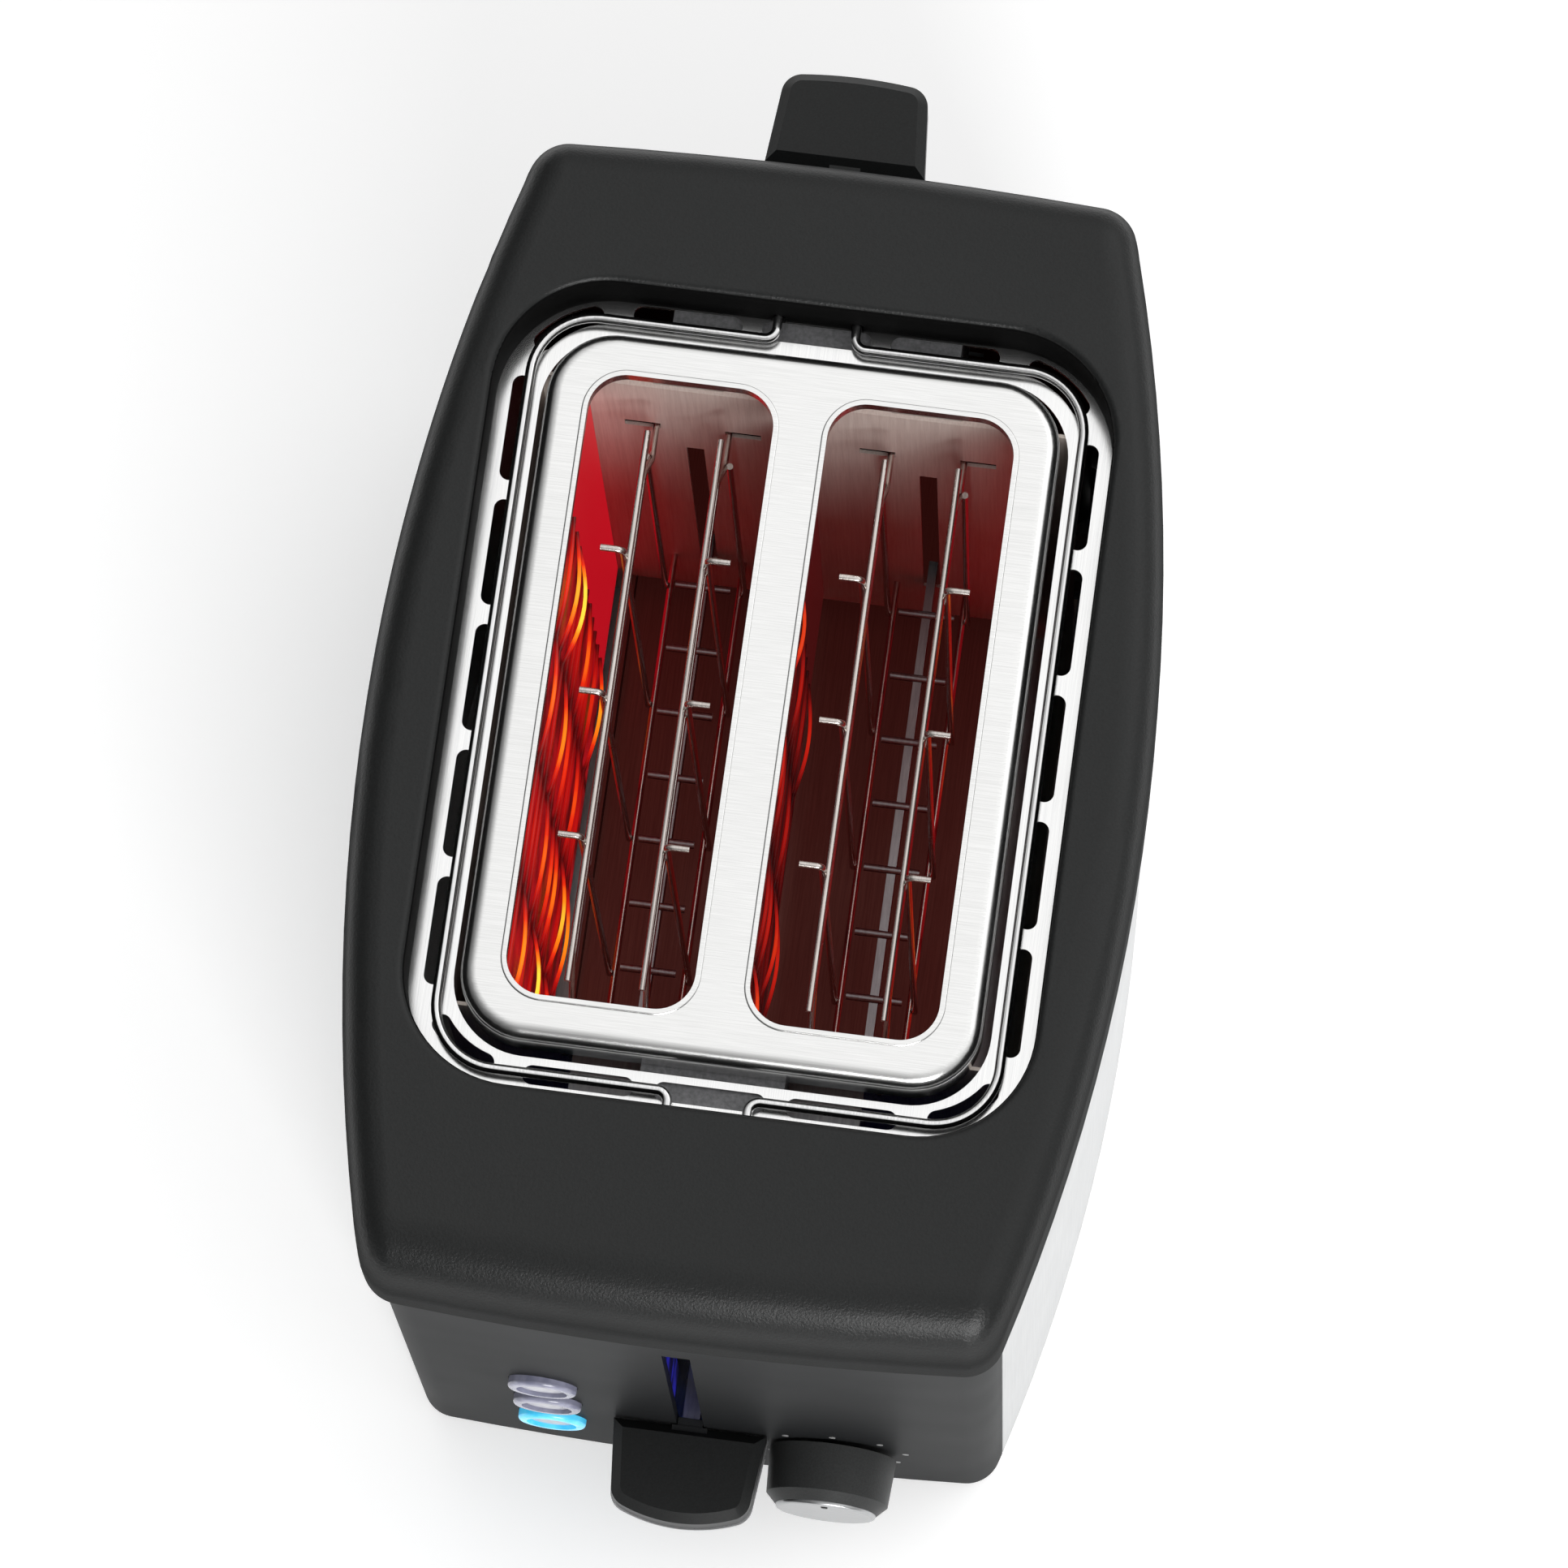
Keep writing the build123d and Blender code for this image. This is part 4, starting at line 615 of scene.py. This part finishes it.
def ribbonTree():
    # Rows of ribbon along Y; between the ribs of the board some spans bow out, and those are hotter
    tree, given, result = newTree("bowedRibbons", [
        ("Start", "Vector"), ("End", "Vector"), ("Row Pitch", "Float"), ("Rows", "Int"), ("Spans", "Int"),
        ("Points Per Span", "Float"), ("Bow", "Float"), ("Taut Share", "Float"), ("Width", "Float"),
        ("Thickness", "Float"), ("Seed", "Int"), ("Material", "Material")])
    # one straight row, cut into short steps, and a copy of it on each rung of an upright line
    line = addNode(tree, "GeometryNodeCurvePrimitiveLine",
                   links={"Start": given["Start"], "End": given["End"]})
    steps = addNode(tree, "ShaderNodeMath", {"operation": "MULTIPLY_ADD", 2: 1.0},
                    {0: given["Spans"], 1: given["Points Per Span"]})
    fine = addNode(tree, "GeometryNodeResampleCurve",
                   links={"Curve": line.outputs["Curve"], "Count": steps.outputs[0]})
    rise = addNode(tree, "ShaderNodeCombineXYZ", links={"Z": given["Row Pitch"]})
    rungs = addNode(tree, "GeometryNodeMeshLine", links={"Count": given["Rows"], "Offset": rise.outputs[0]})
    placed = addNode(tree, "GeometryNodeInstanceOnPoints",
                     links={"Points": rungs.outputs[0], "Instance": fine.outputs[0]})
    rows = addNode(tree, "GeometryNodeRealizeInstances", links={"Geometry": placed.outputs[0]})
    # where each point is: its row, its span, and how far along that span
    position = tree.nodes.new("GeometryNodeInputPosition").outputs[0]
    height = addNode(tree, "ShaderNodeSeparateXYZ", links={0: position})
    row = addNode(tree, "ShaderNodeMath", {"operation": "DIVIDE"},
                  {0: height.outputs["Z"], 1: given["Row Pitch"]})
    wholeRow = addNode(tree, "ShaderNodeMath", {"operation": "ROUND"}, {0: row.outputs[0]})
    along = tree.nodes.new("GeometryNodeSplineParameter").outputs["Factor"]
    run = addNode(tree, "ShaderNodeMath", {"operation": "MULTIPLY"}, {0: along, 1: given["Spans"]})
    span = addNode(tree, "ShaderNodeMath", {"operation": "FLOOR"}, {0: run.outputs[0]})
    inSpan = addNode(tree, "ShaderNodeMath", {"operation": "FRACT"}, {0: run.outputs[0]})
    # each span of each row draws its own slack, and the taut ones stay flat
    key = addNode(tree, "ShaderNodeMath", {"operation": "MULTIPLY_ADD", 1: rowStride},
                  {0: wholeRow.outputs[0], 2: span.outputs[0]})
    chance = addNode(tree, "FunctionNodeRandomValue", links={"ID": key.outputs[0], "Seed": given["Seed"]})
    slack = addNode(tree, "ShaderNodeMapRange",
                    links={"Value": chance.outputs[1], "From Min": given["Taut Share"]})
    # an arch from rib to rib, as tall as the slack allows
    turn = addNode(tree, "ShaderNodeMath", {"operation": "MULTIPLY", 1: math.pi}, {0: inSpan.outputs[0]})
    arch = addNode(tree, "ShaderNodeMath", {"operation": "SINE"}, {0: turn.outputs[0]})
    hump = addNode(tree, "ShaderNodeMath", {"operation": "MULTIPLY"},
                   {0: arch.outputs[0], 1: slack.outputs["Result"]})
    out = addNode(tree, "ShaderNodeMath", {"operation": "MULTIPLY"}, {0: hump.outputs[0], 1: given["Bow"]})
    shift = addNode(tree, "ShaderNodeCombineXYZ", links={"X": out.outputs[0]})
    bowed = addNode(tree, "GeometryNodeSetPosition",
                    links={"Geometry": rows.outputs[0], "Offset": shift.outputs[0]})
    # warm in the middle of every span, and hot where it stands off the board
    base = addNode(tree, "ShaderNodeMath", {"operation": "MULTIPLY", 1: heaterLook["archWarmth"]},
                   {0: arch.outputs[0]})
    warmth = addNode(tree, "ShaderNodeMath", {"operation": "MULTIPLY_ADD", 1: heaterLook["bowWarmth"]},
                     {0: hump.outputs[0], 2: base.outputs[0]})
    marked = addNode(tree, "GeometryNodeStoreNamedAttribute", {"domain": "POINT", "Name": "warmth"},
                     {"Geometry": bowed.outputs[0], "Value": warmth.outputs[0]})
    section = addNode(tree, "GeometryNodeCurvePrimitiveQuadrilateral",
                      links={"Width": given["Thickness"], "Height": given["Width"]})
    solid = addNode(tree, "GeometryNodeCurveToMesh", {"Fill Caps": True},
                    {"Curve": marked.outputs[0], "Profile Curve": section.outputs[0]})
    whole = addNode(tree, "GeometryNodeRealizeInstances", links={"Geometry": solid.outputs[0]})
    coloured = addNode(tree, "GeometryNodeSetMaterial",
                       links={"Geometry": whole.outputs[0], "Material": given["Material"]})
    tree.links.new(coloured.outputs[0], result[0])
    return tree


ribbons = ribbonTree()
ribbonWidth = heaterLook["widthMm"] * mm
ribbonThick = heaterLook["thickMm"] * mm
for place, sides in (("left", (1,)), ("centre", (-1, 1)), ("right", (-1,))):
    node = "heating_wire_" + place
    boardLow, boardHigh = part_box("heater_board_" + place)
    wireLow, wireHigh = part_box(node)
    bottom = wireLow[2] + ribbonWidth / 2
    pieces = []
    for side in sides:
        face = (boardHigh if side > 0 else boardLow)[0] + side * ribbonThick / 2
        sideName = "Right" if side > 0 else "Left"
        pieces.append(grownPiece(f"heaterRibbons{place.title()}{sideName}", ribbons, {
            "Start": (face, wireLow[1], bottom),
            "End": (face, wireHigh[1], bottom),
            "Rows": heaterLook["rows"],
            "Row Pitch": (wireHigh[2] - wireLow[2] - ribbonWidth) / (heaterLook["rows"] - 1),
            "Spans": heaterLook["spans"],
            "Points Per Span": float(heaterLook["pointsPerSpan"]),
            "Bow": side * heaterLook["maxBowMm"] * mm,
            "Taut Share": heaterLook["tautShare"],
            "Width": ribbonWidth,
            "Thickness": ribbonThick,
            "Seed": heaterLook["seed"],
            "Material": materials["ribbonDull" if place == "centre" else "ribbonHot"],
        }, node))
    for piece in pieces:
        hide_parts(node)


def markTree():
    # One printed dot on each point, flat against the panel
    tree, given, result = newTree("browningMarks", [
        ("Geometry", "Geometry"), ("Edges", "Int"), ("Radius", "Float"), ("Depth", "Float"),
        ("Material", "Material")])
    dot = addNode(tree, "GeometryNodeMeshCylinder",
                  links={"Vertices": given["Edges"], "Radius": given["Radius"], "Depth": given["Depth"]})
    towardsFront = (math.pi / 2, 0.0, 0.0)
    dots = addNode(tree, "GeometryNodeInstanceOnPoints", {"Rotation": towardsFront},
                   {"Points": given["Geometry"], "Instance": dot.outputs["Mesh"]})
    whole = addNode(tree, "GeometryNodeRealizeInstances", links={"Geometry": dots.outputs[0]})
    coloured = addNode(tree, "GeometryNodeSetMaterial",
                       links={"Geometry": whole.outputs[0], "Material": given["Material"]})
    tree.links.new(coloured.outputs[0], result[0])
    return tree


marksLook = {"count": 7, "pitchDegrees": 40.0, "clearMm": 2.2, "edges": 20, "radiusMm": 0.75,
             "depthMm": 0.3, "pointerDropMm": 3.0}
dotTree = markTree()
dotValues = {"Edges": marksLook["edges"], "Radius": marksLook["radiusMm"] * mm,
             "Depth": marksLook["depthMm"] * mm}
knobLow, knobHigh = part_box("browning_knob")
knobX = (knobLow[0] + knobHigh[0]) / 2
knobZ = (knobLow[2] + knobHigh[2]) / 2
markRing = (knobHigh[0] - knobLow[0]) / 2 + marksLook["clearMm"] * mm
probeStart = knobLow[1] - 50.0 * mm  # well in front of the panel
panelFaces = BVHTree.FromObject(smooth["front_panel"], bpy.context.evaluated_depsgraph_get())
markPoints = []
for k in range(marksLook["count"]):
    angle = math.radians((k - (marksLook["count"] - 1) / 2) * marksLook["pitchDegrees"])
    x = knobX + markRing * math.sin(angle)
    z = knobZ + markRing * math.cos(angle)
    onPanel = panelFaces.ray_cast(Vector((x, probeStart, z)), Vector((0, 1, 0)))[0]
    if onPanel:
        markPoints.append((x, onPanel.y, z))
grownPiece("browningMarks", dotTree, {**dotValues, "Material": materials["printWhite"]},
           "front_panel", markPoints)
capLow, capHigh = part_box("knob_end_cap")
pointerPlace = (knobX, capLow[1], capHigh[2] - marksLook["pointerDropMm"] * mm)
grownPiece("knobPointer", dotTree, {**dotValues, "Material": materials["printBlack"]},
           "knob_end_cap", [pointerPlace])
print("ribbons and marks grown")


# The camera looks down on the slots from a little in front, with a slight tilt of the head
cameraView = {"lensMm": 189.7, "sensorMm": 36.0, "aimMm": (7.15, -14.41, 188.0), "distanceMm": 1784.2,
              "azimuthDegrees": 13.635, "elevationDegrees": 75.719, "rollDegrees": -6.068,
              "clipNearMm": 50.0, "clipFarMm": 20000.0}
cameraData = bpy.data.cameras.new("viewCamera")
cameraData.lens = cameraView["lensMm"]
cameraData.sensor_width = cameraView["sensorMm"]
cameraData.clip_start = cameraView["clipNearMm"] * mm
cameraData.clip_end = cameraView["clipFarMm"] * mm
camera = bpy.data.objects.new("viewCamera", cameraData)
orbit = Matrix.Rotation(math.radians(cameraView["azimuthDegrees"]), 4, "Z")
pitch = Matrix.Rotation(math.radians(90 - cameraView["elevationDegrees"]), 4, "X")
roll = Matrix.Rotation(math.radians(cameraView["rollDegrees"]), 4, "Z")
backOff = Matrix.Translation((0, 0, cameraView["distanceMm"] * mm))
camera.matrix_world = Matrix.Translation(Vector(cameraView["aimMm"]) * mm) @ orbit @ pitch @ backOff @ roll
scene.collection.objects.link(camera)
scene.camera = camera


# A pale paper floor that reads white to the eye and in mirrors, and still takes the shadow
stageLook = {"floorHalf": 6.0, "floorColour": "#fbfbfb", "lift": 0.24}
floorMesh = bpy.data.meshes.new("paleFloor")
half = stageLook["floorHalf"]
floorMesh.from_pydata([(-half, -half, 0), (half, -half, 0), (half, half, 0), (-half, half, 0)], [],
                      [(0, 1, 2, 3)])
floor = bpy.data.objects.new("paleFloor", floorMesh)
scene.collection.objects.link(floor)
floorMaterial, floorTree, floorShader = newMaterial("palePaper")[:3]
floorShader.inputs["Base Color"].default_value = linear(stageLook["floorColour"])
floorShader.inputs["Roughness"].default_value = 0.9
floorShader.inputs["Specular IOR Level"].default_value = 0.0
rays = floorTree.nodes.new("ShaderNodeLightPath").outputs
mirrored = addNode(floorTree, "ShaderNodeMath", {"operation": "MAXIMUM"},
                   {0: rays["Is Camera Ray"], 1: rays["Is Glossy Ray"]})
seen = addNode(floorTree, "ShaderNodeMath", {"operation": "MAXIMUM"},
               {0: mirrored.outputs[0], 1: rays["Is Transmission Ray"]})
lift = addNode(floorTree, "ShaderNodeMath", {"operation": "MULTIPLY", 1: stageLook["lift"]},
               {0: seen.outputs[0]})
floorShader.inputs["Emission Color"].default_value = grey(1.0)
floorTree.links.new(lift.outputs[0], floorShader.inputs["Emission Strength"])
dress(floor, floorMaterial)

# A dome that is bright overhead and behind on the right, and dim in front
domeLook = {"brightFrom": (0.35, 0.4, 0.85), "strength": 1.18,
            "stops": ((0.0, 0.08), (0.35, 0.23), (0.65, 0.6), (0.88, 1.0))}
world = bpy.data.worlds.new("softRoom")
world.use_nodes = True
worldTree = world.node_tree
direction = worldTree.nodes.new("ShaderNodeTexCoord").outputs["Generated"]
brightWay = Vector(domeLook["brightFrom"]).normalized()
facing = addNode(worldTree, "ShaderNodeVectorMath", {"operation": "DOT_PRODUCT", 1: brightWay},
                 {0: direction})
level = addNode(worldTree, "ShaderNodeValToRGB",
                {"stops": [(place, grey(value)) for place, value in domeLook["stops"]]},
                {"Fac": facing.outputs["Value"]})
cameraRay = worldTree.nodes.new("ShaderNodeLightPath").outputs["Is Camera Ray"]
openSky = addNode(worldTree, "ShaderNodeMix", {"data_type": "RGBA", 7: grey(1.0)},
                  {0: cameraRay, 6: level.outputs["Color"]})
background = worldTree.nodes["Background"]
worldTree.links.new(openSky.outputs[2], background.inputs["Color"])
background.inputs["Strength"].default_value = domeLook["strength"]
scene.world = world

# A strip in front draws the cover's front highlight; a weak panel lights the far right side
lamps = {
    "frontStrip": {"place": (0.55, -1.7, 1.0), "aim": (0.03, -0.13, 0.18), "size": (1.0, 0.7),
                   "watts": 26.0},
    "rightRearPanel": {"place": (1.6, 1.1, 1.6), "aim": (0, 0, 0.1), "size": (1.6, 1.2), "watts": 3.0},
}
for lampName, lamp in lamps.items():
    data = bpy.data.lights.new(lampName, "AREA")
    data.shape = "RECTANGLE"
    data.size, data.size_y = lamp["size"]
    data.energy = lamp["watts"]
    thing = bpy.data.objects.new(lampName, data)
    aim = Vector(lamp["aim"]) - Vector(lamp["place"])
    turned = aim.to_track_quat("-Z", "Y").to_matrix().to_4x4()
    thing.matrix_world = Matrix.Translation(lamp["place"]) @ turned
    scene.collection.objects.link(thing)
scene.view_settings.view_transform = "Standard"
print("stage, lamps and camera set")

bpy.context.view_layer.update()
